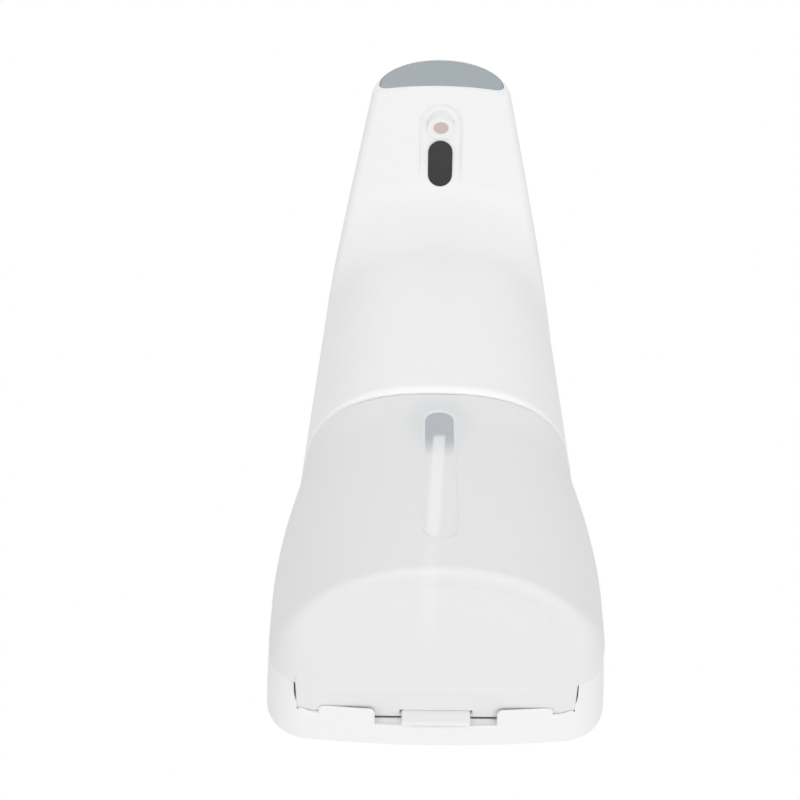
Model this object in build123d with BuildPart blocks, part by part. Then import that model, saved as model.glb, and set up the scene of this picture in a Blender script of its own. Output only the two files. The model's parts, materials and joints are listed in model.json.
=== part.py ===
"""Wall mounted automatic soap dispenser: wall plate, white housing with an overhanging head, and a
translucent pull-out tank.

Millimetres, +Z up, +X to the right of a person facing the dispenser, and -Y towards that person.
The wall is the plane Y = 0 and the origin is the centre of the wall plate's screw pattern. Heights
are given above the dispenser's bottom edge and pass through h(); depths are given forward of the
wall and pass through y().
"""

import os
from math import cos, pi, radians, sin, sqrt, tan

from build123d import *

# ---------------------------------------------------------------- driving dimensions
SCREW_HEIGHT = 130.0      # centre of the wall screws above the bottom edge
TOP_HEIGHT = 240.0        # crown of the housing at the wall
LIP_HEIGHT = 97.5         # lower lip of the front cover, which is the ceiling of the tank bay
WALL_HALF_LIP = 48.5      # half width at the wall, at the lip
SIDE_TAPER = 0.0605       # the sides lean in by this much for each millimetre of height
BODY_FRONT_LIP = 63.4     # front of the body at the lip
BODY_FRONT_NECK = 60.0    # front of the body under the head
NECK_HEIGHT = 172.0
TIP_DEPTH = 108.0         # front of the head
TIP_UNDERSIDE = 208.0     # height of the underside at the tip
TIP_CROWN = 226.5         # top of the head at the tip
UNDERSIDE_ANGLE = 21.0    # slope of the head's underside
NECK_RADIUS = 18.0        # hollow fillet between the body and the head
TIP_PLAN_RADIUS = 130.0   # bow of the head's end face, seen from above
PLAN_POWER = 2.65         # superellipse power of the body's plan
CROWN_POWER = 2.2         # superellipse power of the crown
SHELL = 2.2               # moulded wall thickness
TIP_WALL = 3.4            # thickness of the head's end wall
GAP = 0.3                 # clearance between neighbouring mouldings
BEHIND = 30.0             # how far rough solids run on behind the wall before they are trimmed
BACK_WALL_FRONT = 5.0     # front of the rear housing's back wall
PLATE_RECESS = 2.9        # depth of the pocket in the back wall that takes the wall plate
SPLIT_DEPTH = 24.0        # the seam between the rear housing and the front cover or the tank
BASE_HALF = 55.2          # half width at the wall, low down
BASE_SPLIT_RISE = 6.0     # the underside of the housing rises by this much towards the seam
BASE_CORNER = 15.0        # corner radius of the lower outline
BASE_WALL = 2.6           # wall of the lower housing
BASE_BOW = 2.0            # how far the lower outline sags between its corners
CEILING_HEIGHT = 98.4     # underside of the tank bay's ceiling
CEILING_THICK = 2.0
TANK_TOP = 96.9
TANK_DECK = 91.8          # sunk deck around the tank's cap
TANK_BOTTOM = 6.0
TANK_WALL = 2.2
TANK_FRONT_TOP = 62.0     # front of the tank under the lip
TANK_FRONT_BOTTOM = 82.6
TANK_BACK = 7.6
TANK_REAR_CORNER = 5.0    # corner radius of the tank's rear, in plan
TANK_REAR_HALF = 44.0     # half width of the tank's rear, which stands inside the housing
CAP_DEPTH = 47.0          # the tank's cap, the coupling and the dip tube
CAP_RADIUS = 13.0
FILLER_RADIUS = 11.5
NOZZLE_DEPTH = 95.0
WINDOW_DEPTH = 81.2       # centre of the sensor window
PUMP_DEPTH = 40.0
HOSE_RADIUS = 2.4
HOSE_BORE = 1.45
GEAR_MODULE = 1.0
GEAR_TEETH = 10


def h(height):
    """Z of a height above the bottom edge."""
    return height - SCREW_HEIGHT


def y(depth):
    """Y of a depth forward of the wall."""
    return -depth


def underside(depth):
    """Height of the head's underside."""
    return TIP_UNDERSIDE - (TIP_DEPTH - depth) * tan(radians(UNDERSIDE_ANGLE))


def crown(depth):
    """Height of the head's top line."""
    return TOP_HEIGHT - (TOP_HEIGHT - TIP_CROWN) * depth / TIP_DEPTH


def wall_half(height):
    """Half width of the upper housing at the wall."""
    return WALL_HALF_LIP - SIDE_TAPER * (height - LIP_HEIGHT)


def plan_taper(depth):
    """How much the head narrows from the wall to the tip, as a share of its width at the wall."""
    reach = depth - 25.0
    return (43.5 - 0.108 * (reach + sqrt(reach * reach + 400.0))) / 42.75


def power_arc(half, rise, power, count):
    """Points of a superellipse from (half, 0) over (0, rise) to (-half, 0)."""
    points = []
    for step in range(2 * count + 1):
        angle = pi * step / (2 * count)
        across = abs(cos(angle)) ** (2.0 / power)
        up = abs(sin(angle)) ** (2.0 / power)
        side = 1.0 if cos(angle) > 1e-9 else -1.0 if cos(angle) < -1e-9 else 0.0
        points.append((side * half * across, rise * up))
    return points


def plan_section(height, half, front, power, back=0.0):
    """Horizontal section of a body with a straight back and a full round front."""
    arc = power_arc(half, front - back, power, 6)
    with BuildSketch(Plane.XY.offset(h(height))) as section:
        with BuildLine():
            Spline(
                *[(across, y(back + forward)) for across, forward in arc],
                tangents=[(0, -1), (0, 1)],
            )
            Polyline((-half, y(back)), (-half, y(back - BEHIND)), (half, y(back - BEHIND)), (half, y(back)))
        make_face()
    return section.sketch


def crown_section(depth, inset, bottom):
    """Upright section of the upper housing at a depth: leaning sides under a round crown."""
    spring = underside(depth)
    share = plan_taper(depth)
    foot = wall_half(bottom) * share - inset
    shoulder = wall_half(spring) * share - inset
    rise = crown(depth) - inset - spring
    arc = power_arc(shoulder, rise, CROWN_POWER, 6)
    lean = (shoulder - foot) / (spring - bottom)
    with BuildSketch(Plane.XZ.offset(depth)) as section:
        with BuildLine():
            Line((foot, h(bottom)), (shoulder, h(spring)))
            Spline(
                *[(across, h(spring + up)) for across, up in arc],
                tangents=[(lean, 1), (lean, -1)],
            )
            Line((-shoulder, h(spring)), (-foot, h(bottom)))
            Line((-foot, h(bottom)), (foot, h(bottom)))
        make_face()
    return section.sketch


def housing_envelope(inset, tip_inset, bottom):
    """Solid of the body and its head, moved inwards by inset, from a height up."""
    drop = inset / cos(radians(UNDERSIDE_ANGLE))
    reach = TIP_DEPTH - tip_inset
    bow = TIP_PLAN_RADIUS - sqrt(TIP_PLAN_RADIUS**2 - 60.0**2)
    with BuildPart() as column:
        loft(
            sections=[
                plan_section(height, wall_half(height) + 0.4 - inset, front - inset, PLAN_POWER)
                for height, front in (
                    (bottom, BODY_FRONT_LIP),
                    (NECK_HEIGHT, BODY_FRONT_NECK),
                    (232.0, 58.0),
                )
            ]
        )
        with BuildSketch(Plane.YZ):
            with BuildLine():
                Polyline(
                    (y(-BEHIND), h(underside(-BEHIND) + drop)),
                    (y(120), h(underside(120) + drop)),
                    (y(120), h(260)),
                    (y(-BEHIND), h(260)),
                    close=True,
                )
            make_face()
        extrude(amount=70, both=True)
        neck = column.edges().filter_by(
            lambda e: e.bounding_box().size.X > 60
            and e.bounding_box().max.Z < h(192)
            and e.bounding_box().min.Z > h(150)
            and e.bounding_box().min.Y > y(70)
        )
        fillet(neck, NECK_RADIUS + inset)
    with BuildPart() as sides:
        loft(
            sections=[
                crown_section(depth, inset, bottom - 1.0)
                for depth in (-1.0, 30.0, 60.0, 86.0, 112.0)
            ]
        )
    with BuildPart() as ends:
        with BuildSketch(Plane.XY.offset(h(bottom))):
            with BuildLine():
                ThreePointArc((60, y(reach - bow)), (0, y(reach)), (-60, y(reach - bow)))
                Polyline((-60, y(reach - bow)), (-60, 0), (60, 0), (60, y(reach - bow)))
            make_face()
        extrude(amount=200)
    with BuildPart() as body:
        add(column.part)
        add(sides.part, mode=Mode.INTERSECT)
        add(ends.part, mode=Mode.INTERSECT)
    return body.part


def smooth_step(value):
    """Smooth rise from 0 to 1."""
    value = min(1.0, max(0.0, value))
    return value * value * (3.0 - 2.0 * value)


def base_half(height):
    """Half width of the lower housing at the wall."""
    return BASE_HALF - 6.9 * smooth_step((height - 34.0) / 70.0)


def base_section(depth, inset, bottom_rise, top):
    """Upright section of the lower housing at a depth, below the lip."""
    share = plan_taper(depth)
    radius = BASE_CORNER - inset
    bottom = bottom_rise + inset
    heel = bottom + BASE_BOW
    low = heel + radius
    heights = [low + (top - low) * step / 4.0 for step in range(5)]
    right = [(base_half(height) * share - inset, h(height)) for height in heights]
    left = [(-across, up) for across, up in reversed(right)]
    half = right[0][0]
    turn = radius * (1.0 - sqrt(0.5))
    with BuildSketch(Plane.XZ.offset(depth)) as section:
        with BuildLine():
            Spline(*right)
            Line(right[-1], left[0])
            Spline(*left)
            ThreePointArc((-half, h(low)), (turn - half, h(heel + turn)), (radius - half, h(heel)))
            ThreePointArc((radius - half, h(heel)), (0, h(bottom)), (half - radius, h(heel)))
            ThreePointArc((half - radius, h(heel)), (half - turn, h(heel + turn)), (half, h(low)))
        make_face()
    return section.sketch


def head_plane(depth):
    """Plane on the head's underside, facing out of it, with its Y towards the tip."""
    slope = radians(UNDERSIDE_ANGLE)
    return Plane(
        origin=(0, y(depth), h(underside(depth))),
        x_dir=(1, 0, 0),
        z_dir=(0, -sin(slope), -cos(slope)),
    )


def tip_block(reach):
    """Everything behind a bowed end face at a depth."""
    bow = TIP_PLAN_RADIUS - sqrt(TIP_PLAN_RADIUS**2 - 60.0**2)
    with BuildPart() as block:
        with BuildSketch(Plane.XY.offset(h(90))):
            with BuildLine():
                ThreePointArc((60, y(reach - bow)), (0, y(reach)), (-60, y(reach - bow)))
                Polyline((-60, y(reach - bow)), (-60, y(-5)), (60, y(-5)), (60, y(reach - bow)))
            make_face()
        extrude(amount=180)
    return block.part


def slab(low_depth, high_depth, low_height, high_height, half=80.0):
    """Plain block between two depths and two heights, used to trim other solids."""
    with BuildPart() as block:
        with BuildSketch(Plane.XY.offset(h(low_height))):
            with Locations((0, y((low_depth + high_depth) / 2.0))):
                Rectangle(2.0 * half, high_depth - low_depth)
        extrude(amount=high_height - low_height)
    return block.part


def finish(piece, name):
    """Label a finished piece and write it."""
    piece.label = name
    export_step(piece, f"parts/{name}.step")


os.makedirs("parts", exist_ok=True)

# ---------------------------------------------------------------- envelopes
outer = housing_envelope(0.0, 0.0, LIP_HEIGHT)
inner = housing_envelope(SHELL, TIP_WALL, LIP_HEIGHT - 1.0)

with BuildPart() as lower_outer:
    loft(
        sections=[
            base_section(0.0, 0.0, 0.0, LIP_HEIGHT),
            base_section(SPLIT_DEPTH / 2.0, 0.0, BASE_SPLIT_RISE / 2.0, LIP_HEIGHT),
            base_section(SPLIT_DEPTH, 0.0, BASE_SPLIT_RISE, LIP_HEIGHT),
        ]
    )
with BuildPart() as lower_inner:
    loft(
        sections=[
            base_section(BACK_WALL_FRONT, BASE_WALL, 0.0, LIP_HEIGHT + 1.0),
            base_section(SPLIT_DEPTH / 2.0, BASE_WALL, BASE_SPLIT_RISE / 4.0, LIP_HEIGHT + 1.0),
            base_section(SPLIT_DEPTH + 1.0, BASE_WALL, BASE_SPLIT_RISE, LIP_HEIGHT + 1.0),
        ]
    )

# ---------------------------------------------------------------- wall plate and its screws
PLATE_HALF = 24.0
PLATE_LOW, PLATE_HIGH = 66.0, 194.0
PLATE_THICK = 2.6
SCREW_SPREAD_X, SCREW_SPREAD_Z = 32.0, 100.0
SCREW_HOLE = 2.25
HOOK_HEIGHTS = (78.0, 158.0)   # underside of each hook's stem
HOOK_HALF = 9.0
STEM_HIGH = 4.0
HOOK_RISE = 8.0
HOOK_BARB_BACK, HOOK_BARB_FRONT = 5.4, 6.9
ROOT = 0.5                 # how far a raised feature is sunk into its base, to make one solid
LIFT_TRAVEL = 10.0

with BuildPart() as wall_plate:
    with BuildSketch(Plane.XZ):
        with Locations((0, h((PLATE_LOW + PLATE_HIGH) / 2.0))):
            RectangleRounded(2.0 * PLATE_HALF, PLATE_HIGH - PLATE_LOW, 5.0)
    extrude(amount=PLATE_THICK)
    with BuildSketch(Plane.XZ):
        with GridLocations(SCREW_SPREAD_X, SCREW_SPREAD_Z, 2, 2):
            Circle(SCREW_HOLE)
    extrude(amount=PLATE_THICK, mode=Mode.SUBTRACT)
    for stem in HOOK_HEIGHTS:
        with BuildSketch(Plane.YZ):
            with BuildLine():
                Polyline(
                    (y(PLATE_THICK - ROOT), h(stem)),
                    (y(HOOK_BARB_FRONT), h(stem)),
                    (y(HOOK_BARB_FRONT), h(stem + STEM_HIGH + HOOK_RISE)),
                    (y(HOOK_BARB_BACK), h(stem + STEM_HIGH + HOOK_RISE)),
                    (y(HOOK_BARB_BACK), h(stem + STEM_HIGH)),
                    (y(PLATE_THICK - ROOT), h(stem + STEM_HIGH)),
                    close=True,
                )
            make_face()
        extrude(amount=HOOK_HALF, both=True)
finish(wall_plate.part, "wall_plate")

# ---------------------------------------------------------------- rear housing
NOTCH_HALF = 45.2          # half width of the notch in the housing's bottom wall
NOTCH_BACK = 10.5          # the bottom wall's ledge is this deep
NOTCH_CORNER = 7.0
MIDDLE_BACK = 7.5          # the ledge is shallower between the tabs, where the latch stands
TAB_FRONT = 13.5
SEAT_GAP = 0.4             # clearance round the foot of the tank
RIB_LOW, RIB_HALF = 3.0, 21.0
TAB_LOW, TAB_HIGH = 19.5, 37.5
TAB_CORNER = 1.8
NOTCH_BEVEL = 0.4
LATCH_HALF = 11.0
COUPLING_RADIUS = 8.0
RIM_INSET = SHELL + GAP
COVER_SCREW_X, COVER_SCREW_DEPTH = 31.0, 36.0
COVER_SCREW_RADIUS, SCREW_HEAD_RADIUS = 1.15, 2.2
PLATE_FIT = 0.6            # clearance round the wall plate in its pocket
POST_RADIUS, POST_HOLE = 2.6, 0.95
BOARD_BACK = 9.6
BOARD_LOW, BOARD_HIGH = 122.0, 186.0
BOARD_SCREW_X, BOARD_SCREW_Z = 46.0, 54.0

# room for the works above the ceiling, and the bay for the tank below it
with BuildPart() as upper_room:
    add(inner)
    add(
        slab(BACK_WALL_FRONT, 130.0, CEILING_HEIGHT + CEILING_THICK, 250.0),
        mode=Mode.INTERSECT,
    )
with BuildPart() as bay:
    add(lower_inner.part)
    add(slab(BACK_WALL_FRONT, 40.0, 0.0, CEILING_HEIGHT), mode=Mode.INTERSECT)
# the ceiling runs on forward of the seam, inside the front cover
with BuildPart() as ceiling:
    for height in (CEILING_HEIGHT, CEILING_HEIGHT + CEILING_THICK):
        add(
            plan_section(
                height, wall_half(height) - RIM_INSET, BODY_FRONT_LIP - RIM_INSET, PLAN_POWER
            )
        )
    loft()
    add(slab(SPLIT_DEPTH - 1.0, 80.0, 90.0, 110.0), mode=Mode.INTERSECT)

with BuildPart() as rear_housing:
    add(outer)
    add(lower_outer.part)
    add(slab(0.0, SPLIT_DEPTH, -2.0, 250.0), mode=Mode.INTERSECT)
    add(upper_room.part, mode=Mode.SUBTRACT)
    add(bay.part, mode=Mode.SUBTRACT)
    add(ceiling.part)
    # rib that closes the gap under the tank's back edge
    add(slab(BACK_WALL_FRONT - ROOT, MIDDLE_BACK - SEAT_GAP, RIB_LOW, TANK_BOTTOM - SEAT_GAP, RIB_HALF))
    # notch in the bottom wall, with two tabs left standing forward of its ledge
    with BuildSketch(Plane.XY.offset(h(-1.0))):
        with Locations((0, y(NOTCH_BACK + 20.0))):
            RectangleRounded(2.0 * NOTCH_HALF, 40.0, NOTCH_CORNER)
        with Locations((0, y(NOTCH_BACK))):
            Rectangle(2.0 * TAB_LOW, 2.0 * (NOTCH_BACK - MIDDLE_BACK))
        for side in (-1, 1):
            with Locations((side * (TAB_LOW + TAB_HIGH) / 2.0, y(NOTCH_BACK))):
                RectangleRounded(
                    TAB_HIGH - TAB_LOW, 2.0 * (TAB_FRONT - NOTCH_BACK), TAB_CORNER, mode=Mode.SUBTRACT
                )
    extrude(amount=20.0, mode=Mode.SUBTRACT)
    # seat for the foot of the tank
    with BuildSketch(Plane.XY.offset(h(TANK_BOTTOM - SEAT_GAP))):
        with Locations((0, y(TANK_BACK - SEAT_GAP + 20.0))):
            Rectangle(2.0 * (TANK_REAR_HALF + SEAT_GAP), 40.0)
    extrude(amount=10.0, mode=Mode.SUBTRACT)
    # pocket for the wall plate, a slot for each hook
    with BuildSketch(Plane.XZ):
        with Locations((0, h((PLATE_LOW - LIFT_TRAVEL - 1.0 + PLATE_HIGH + PLATE_FIT) / 2.0))):
            Rectangle(
                2.0 * (PLATE_HALF + PLATE_FIT), PLATE_HIGH - PLATE_LOW + LIFT_TRAVEL + 1.0 + PLATE_FIT
            )
    extrude(amount=PLATE_RECESS, mode=Mode.SUBTRACT)
    with BuildSketch(Plane.XZ):
        for stem in HOOK_HEIGHTS:
            slot_top = stem + STEM_HIGH + GAP
            slot_low = slot_top - LIFT_TRAVEL - STEM_HIGH - 1.6
            with Locations((0, h((slot_top + slot_low) / 2.0))):
                Rectangle(2.0 * HOOK_HALF + 1.0, slot_top - slot_low)
    extrude(amount=BACK_WALL_FRONT + 0.5, mode=Mode.SUBTRACT)
    # holes in the ceiling for the coupling and the cover's screws
    with BuildSketch(Plane.XY.offset(h(CEILING_HEIGHT - 1.0))):
        with Locations((0, y(CAP_DEPTH))):
            Circle(COUPLING_RADIUS)
        with Locations((COVER_SCREW_X, y(COVER_SCREW_DEPTH)), (-COVER_SCREW_X, y(COVER_SCREW_DEPTH))):
            Circle(COVER_SCREW_RADIUS + 0.15)
    extrude(amount=CEILING_THICK + 2.0, mode=Mode.SUBTRACT)
    # posts for the control board
    with BuildSketch(Plane.XZ.offset(BACK_WALL_FRONT - 0.5)):
        with Locations((0, h((BOARD_LOW + BOARD_HIGH) / 2.0))):
            with GridLocations(BOARD_SCREW_X, BOARD_SCREW_Z, 2, 2):
                Circle(POST_RADIUS)
    extrude(amount=BOARD_BACK - BACK_WALL_FRONT + 0.45)
    with BuildSketch(Plane.XZ.offset(BACK_WALL_FRONT + 0.8)):
        with Locations((0, h((BOARD_LOW + BOARD_HIGH) / 2.0))):
            with GridLocations(BOARD_SCREW_X, BOARD_SCREW_Z, 2, 2):
                Circle(POST_HOLE)
    extrude(amount=10.0, mode=Mode.SUBTRACT)
    # the notch's outline is bevelled where it meets the underside
    notch_edges = rear_housing.edges().filter_by(
        lambda e: e.bounding_box().max.Z < h(6.0)
        and e.bounding_box().min.Y > y(SPLIT_DEPTH)
        and e.bounding_box().max.Y < y(MIDDLE_BACK - 0.2)
        and e.bounding_box().max.X < NOTCH_HALF
        and e.bounding_box().min.X > -NOTCH_HALF
        and e.geom_type == GeomType.BSPLINE
        and e.bounding_box().max.Z < h(5.2)
    )
    chamfer(notch_edges, NOTCH_BEVEL)
finish(rear_housing.part, "rear_housing")

# ---------------------------------------------------------------- front cover
WINDOW_LONG, WINDOW_WIDE = 17.2, 8.8
RING_RADIUS = 4.9
LID_HALF = 19.0            # half width of the lid's opening
LID_BACK, LID_FRONT = 26.5, 66.0
LID_CORNER = 5.0
LID_GAP = 0.35
KNUCKLE = 5.8              # the lid's back edge is rounded about its hinge pin
HINGE_SINK = 4.4           # hinge pin's depth below the ridge of the roof
HINGE_DEPTH = LID_BACK + KNUCKLE
HINGE_HEIGHT = crown(HINGE_DEPTH) - HINGE_SINK
HUB_RADIUS = 2.0
PIN_RADIUS = 1.0
EAR_INNER, EAR_OUTER = 3.5, 6.5
PIN_HALF = 9.0
HOOK_THICK = 1.3           # thickness of the hooked lugs that carry the pin
HOOK_DROP = 5.75           # from the pin down to the middle of a hook's foot
HOOK_BACK = KNUCKLE + 1.3  # from the pin back to the middle of a hook's upright
BUTTON_DEPTH = 80.0
BUTTON_RADIUS = 4.5
FASCIA_HALF = 22.6
FASCIA_LOW, FASCIA_HIGH = 209.4, 225.2
FASCIA_BED = 1.6           # depth of the end panel's bed


def lid_plan(margin):
    """Plan of the battery lid forward of its hinge, moved inwards by margin."""
    front = LID_FRONT - margin
    with BuildSketch() as plan:
        with Locations((0, y((HINGE_DEPTH + front) / 2.0))):
            Rectangle(2.0 * (LID_HALF - margin), front - HINGE_DEPTH)
        fillet(plan.vertices().group_by(Axis.Y)[0], LID_CORNER - margin)
    return plan.sketch


with BuildPart() as fascia_bed:
    with BuildSketch(Plane.XZ.offset(90.0)):
        with BuildLine():
            arc = power_arc(FASCIA_HALF + 0.15, FASCIA_HIGH - FASCIA_LOW + 0.15, CROWN_POWER, 5)
            Spline(*[(across, h(FASCIA_LOW - 0.15 + up)) for across, up in arc])
            Line((arc[-1][0], h(FASCIA_LOW - 0.15)), (arc[0][0], h(FASCIA_LOW - 0.15)))
        make_face()
    extrude(amount=30.0)
    add(tip_block(TIP_DEPTH - FASCIA_BED), mode=Mode.SUBTRACT)

with BuildPart() as front_cover:
    add(outer)
    add(inner, mode=Mode.SUBTRACT)
    add(slab(SPLIT_DEPTH + GAP, 130.0, 90.0, 250.0), mode=Mode.INTERSECT)
    add(fascia_bed.part, mode=Mode.SUBTRACT)
    with BuildSketch(head_plane(WINDOW_DEPTH)):
        SlotOverall(WINDOW_LONG + 0.2, WINDOW_WIDE + 0.2, rotation=90)
    extrude(amount=4.0, both=True, mode=Mode.SUBTRACT)
    with BuildSketch(Plane.XY.offset(h(196.0))):
        with Locations((0, y(NOZZLE_DEPTH))):
            Circle(RING_RADIUS + 0.05)
    extrude(amount=13.0, mode=Mode.SUBTRACT)
    with BuildSketch(Plane.XY.offset(h(222.0))):
        add(lid_plan(0.0))
        with Locations((0, y(BUTTON_DEPTH))):
            Circle(BUTTON_RADIUS + GAP)
    extrude(amount=30.0, mode=Mode.SUBTRACT)
    with BuildSketch(Plane.YZ):
        with Locations((y(HINGE_DEPTH), h(HINGE_HEIGHT))):
            Circle(KNUCKLE + GAP)
    extrude(amount=LID_HALF, both=True, mode=Mode.SUBTRACT)
    # a hooked lug beside each of the lid's ears holds its pin
    for side in (-1, 1):
        with BuildSketch(Plane.YZ.offset(side * (EAR_OUTER + GAP))):
            with Locations((y(HINGE_DEPTH), h(HINGE_HEIGHT))):
                Circle(HUB_RADIUS)
                with Locations((-1.2, -HOOK_DROP / 2.0)):
                    Rectangle(1.6, HOOK_DROP)
                with Locations((HOOK_BACK / 2.0 - 1.0, -HOOK_DROP)):
                    Rectangle(HOOK_BACK + 2.0 + HOOK_THICK, HOOK_THICK)
                with Locations((HOOK_BACK, 0.0)):
                    Rectangle(HOOK_THICK, 2.0 * HOOK_DROP)
                Circle(PIN_RADIUS, mode=Mode.SUBTRACT)
        extrude(amount=side * (PIN_HALF - EAR_OUTER - GAP))
    # bosses for the two screws that come up through the ceiling
    for side in (-1, 1):
        with BuildSketch(Plane.XY.offset(h(CEILING_HEIGHT + CEILING_THICK + 0.2))):
            with Locations((side * (COVER_SCREW_X + 4.5), y(COVER_SCREW_DEPTH))):
                Rectangle(16.0, 7.0)
            with Locations((side * COVER_SCREW_X, y(COVER_SCREW_DEPTH))):
                Circle(1.2, mode=Mode.SUBTRACT)
        extrude(amount=9.0)
    add(outer, mode=Mode.INTERSECT)
finish(front_cover.part, "front_cover")

with BuildPart() as cover_screws:
    with BuildSketch(Plane.XY.offset(h(CEILING_HEIGHT - 1.2))):
        with Locations((COVER_SCREW_X, y(COVER_SCREW_DEPTH)), (-COVER_SCREW_X, y(COVER_SCREW_DEPTH))):
            Circle(SCREW_HEAD_RADIUS)
    extrude(amount=1.15)
    with BuildSketch(Plane.XY.offset(h(CEILING_HEIGHT - 0.05))):
        with Locations((COVER_SCREW_X, y(COVER_SCREW_DEPTH)), (-COVER_SCREW_X, y(COVER_SCREW_DEPTH))):
            Circle(COVER_SCREW_RADIUS)
    extrude(amount=9.0)
finish(cover_screws.part, "cover_screws")

with BuildPart() as fascia:
    with BuildSketch(Plane.XZ.offset(90.0)):
        with BuildLine():
            arc = power_arc(FASCIA_HALF, FASCIA_HIGH - FASCIA_LOW, CROWN_POWER, 5)
            Spline(*[(across, h(FASCIA_LOW + up)) for across, up in arc])
            Line((arc[-1][0], h(FASCIA_LOW)), (arc[0][0], h(FASCIA_LOW)))
        make_face()
    extrude(amount=30.0)
    add(tip_block(TIP_DEPTH - FASCIA_BED + 0.05), mode=Mode.SUBTRACT)
    add(tip_block(TIP_DEPTH - 0.2), mode=Mode.INTERSECT)
finish(fascia.part, "fascia_panel")

# ---------------------------------------------------------------- sensor window, nozzle
with BuildPart() as sensor_window:
    with BuildSketch(head_plane(WINDOW_DEPTH)):
        SlotOverall(WINDOW_LONG, WINDOW_WIDE, rotation=90)
    extrude(amount=-2.6)
    with BuildSketch(head_plane(WINDOW_DEPTH).offset(-2.3)):
        SlotOverall(WINDOW_LONG + 0.2, WINDOW_WIDE + 3.0, rotation=90)
    extrude(amount=-1.2)
finish(sensor_window.part, "sensor_window")

NOZZLE_LOW = 200.8         # rim of the nozzle ring
HOSE_HEIGHT = NOZZLE_LOW + 12.0
NOZZLE_BORE = 2.6
FLANGE_RADIUS = RING_RADIUS + 1.6
VALVE_LOW, VALVE_TOP = NOZZLE_LOW + 0.7, NOZZLE_LOW + 14.0
VALVE_FLANGE = NOZZLE_LOW + 9.4
LIPS_HIGH = 1.0            # the valve's lips, closed at rest
VALVE_BORE = 0.7
with BuildPart() as nozzle_ring:
    with BuildSketch(Plane.XY.offset(h(NOZZLE_LOW))):
        with Locations((0, y(NOZZLE_DEPTH))):
            Circle(RING_RADIUS)
            Circle(NOZZLE_BORE, mode=Mode.SUBTRACT)
    extrude(amount=8.2)
    with BuildSketch(Plane.XY.offset(h(NOZZLE_LOW + 8.0))):
        with Locations((0, y(NOZZLE_DEPTH))):
            Circle(FLANGE_RADIUS)
            Circle(NOZZLE_BORE, mode=Mode.SUBTRACT)
    extrude(amount=1.4)
    fillet(nozzle_ring.edges().filter_by(GeomType.CIRCLE).sort_by(Axis.Z)[:1], 0.6)
finish(nozzle_ring.part, "nozzle_ring")

with BuildPart() as nozzle_valve:
    for low, high, radius in (
        (VALVE_LOW, VALVE_FLANGE + 0.2, NOZZLE_BORE - 0.05),
        (VALVE_FLANGE, VALVE_FLANGE + 1.0, 4.4),
        (VALVE_FLANGE + 0.9, VALVE_TOP, 2.4),
    ):
        with BuildSketch(Plane((0, y(NOZZLE_DEPTH), h(low)))):
            Circle(radius)
        extrude(amount=high - low)
    # nipple for the hose
    with BuildSketch(Plane.XZ.offset(NOZZLE_DEPTH - 2.0)):
        with Locations((0, h(HOSE_HEIGHT))):
            Circle(HOSE_BORE - 0.05)
    extrude(amount=-5.0)
    with BuildSketch(Plane.XZ.offset(NOZZLE_DEPTH)):
        with Locations((0, h(HOSE_HEIGHT))):
            Circle(VALVE_BORE)
    extrude(amount=-8.0, mode=Mode.SUBTRACT)
    with BuildSketch(Plane((0, y(NOZZLE_DEPTH), h(VALVE_LOW + LIPS_HIGH)))):
        Circle(VALVE_BORE)
    extrude(amount=HOSE_HEIGHT - VALVE_LOW - LIPS_HIGH, mode=Mode.SUBTRACT)
finish(nozzle_valve.part, "nozzle_valve")

BOARD_LIFT = 8.0           # the sensor board stands this far inside the underside
with BuildPart() as sensor_board:
    with BuildSketch(head_plane(WINDOW_DEPTH - 3.0).offset(-BOARD_LIFT)):
        Rectangle(22.0, 19.0)
    extrude(amount=-1.2)
finish(sensor_board.part, "sensor_board")

with BuildPart() as infrared_diodes:
    with BuildSketch(head_plane(WINDOW_DEPTH - 0.2).offset(-BOARD_LIFT)):
        with Locations((0, 3.6), (0, -3.6)):
            Circle(1.5)
    extrude(amount=3.4)
    fillet(infrared_diodes.edges().filter_by(GeomType.CIRCLE).group_by(Axis.Z)[0], 0.9)
finish(infrared_diodes.part, "infrared_diodes")

# ---------------------------------------------------------------- battery box and its lid
CELL_RADIUS, CELL_LONG = 7.0, 50.0
CELL_PITCH = 14.6
CELLS_BACK = 9.6
CELL_TIP_RADIUS, CELL_TIP_LONG = 2.6, 1.0
CONTACT_SIZE = 11.0
SPRING_OUTER, SPRING_INNER = 4.6, 3.6
BOX_WALL = 1.6
BOX_HALF = 16.6
BOX_LOW, BOX_HIGH = 193.6, 224.8
BOX_BACK, BOX_FRONT = 6.6, 62.2
CELL_LOWEST = BOX_LOW + BOX_WALL + GAP + CELL_RADIUS
CELL_HEIGHTS = (CELL_LOWEST, CELL_LOWEST + CELL_PITCH)
CELL_SIDES = (-CELL_PITCH / 2.0, CELL_PITCH / 2.0)

with BuildPart() as battery_box:
    with BuildSketch(Plane.XY.offset(h(BOX_LOW))):
        with Locations((0, y((BOX_BACK + BOX_FRONT) / 2.0))):
            Rectangle(2.0 * BOX_HALF, BOX_FRONT - BOX_BACK)
    extrude(amount=BOX_HIGH - BOX_LOW)
    with BuildSketch(Plane.XY.offset(h(BOX_LOW + BOX_WALL))):
        with Locations((0, y((BOX_BACK + BOX_FRONT) / 2.0))):
            Rectangle(2.0 * (BOX_HALF - BOX_WALL), BOX_FRONT - BOX_BACK - 2.0 * BOX_WALL)
    extrude(amount=40.0, mode=Mode.SUBTRACT)
finish(battery_box.part, "battery_box")

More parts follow.
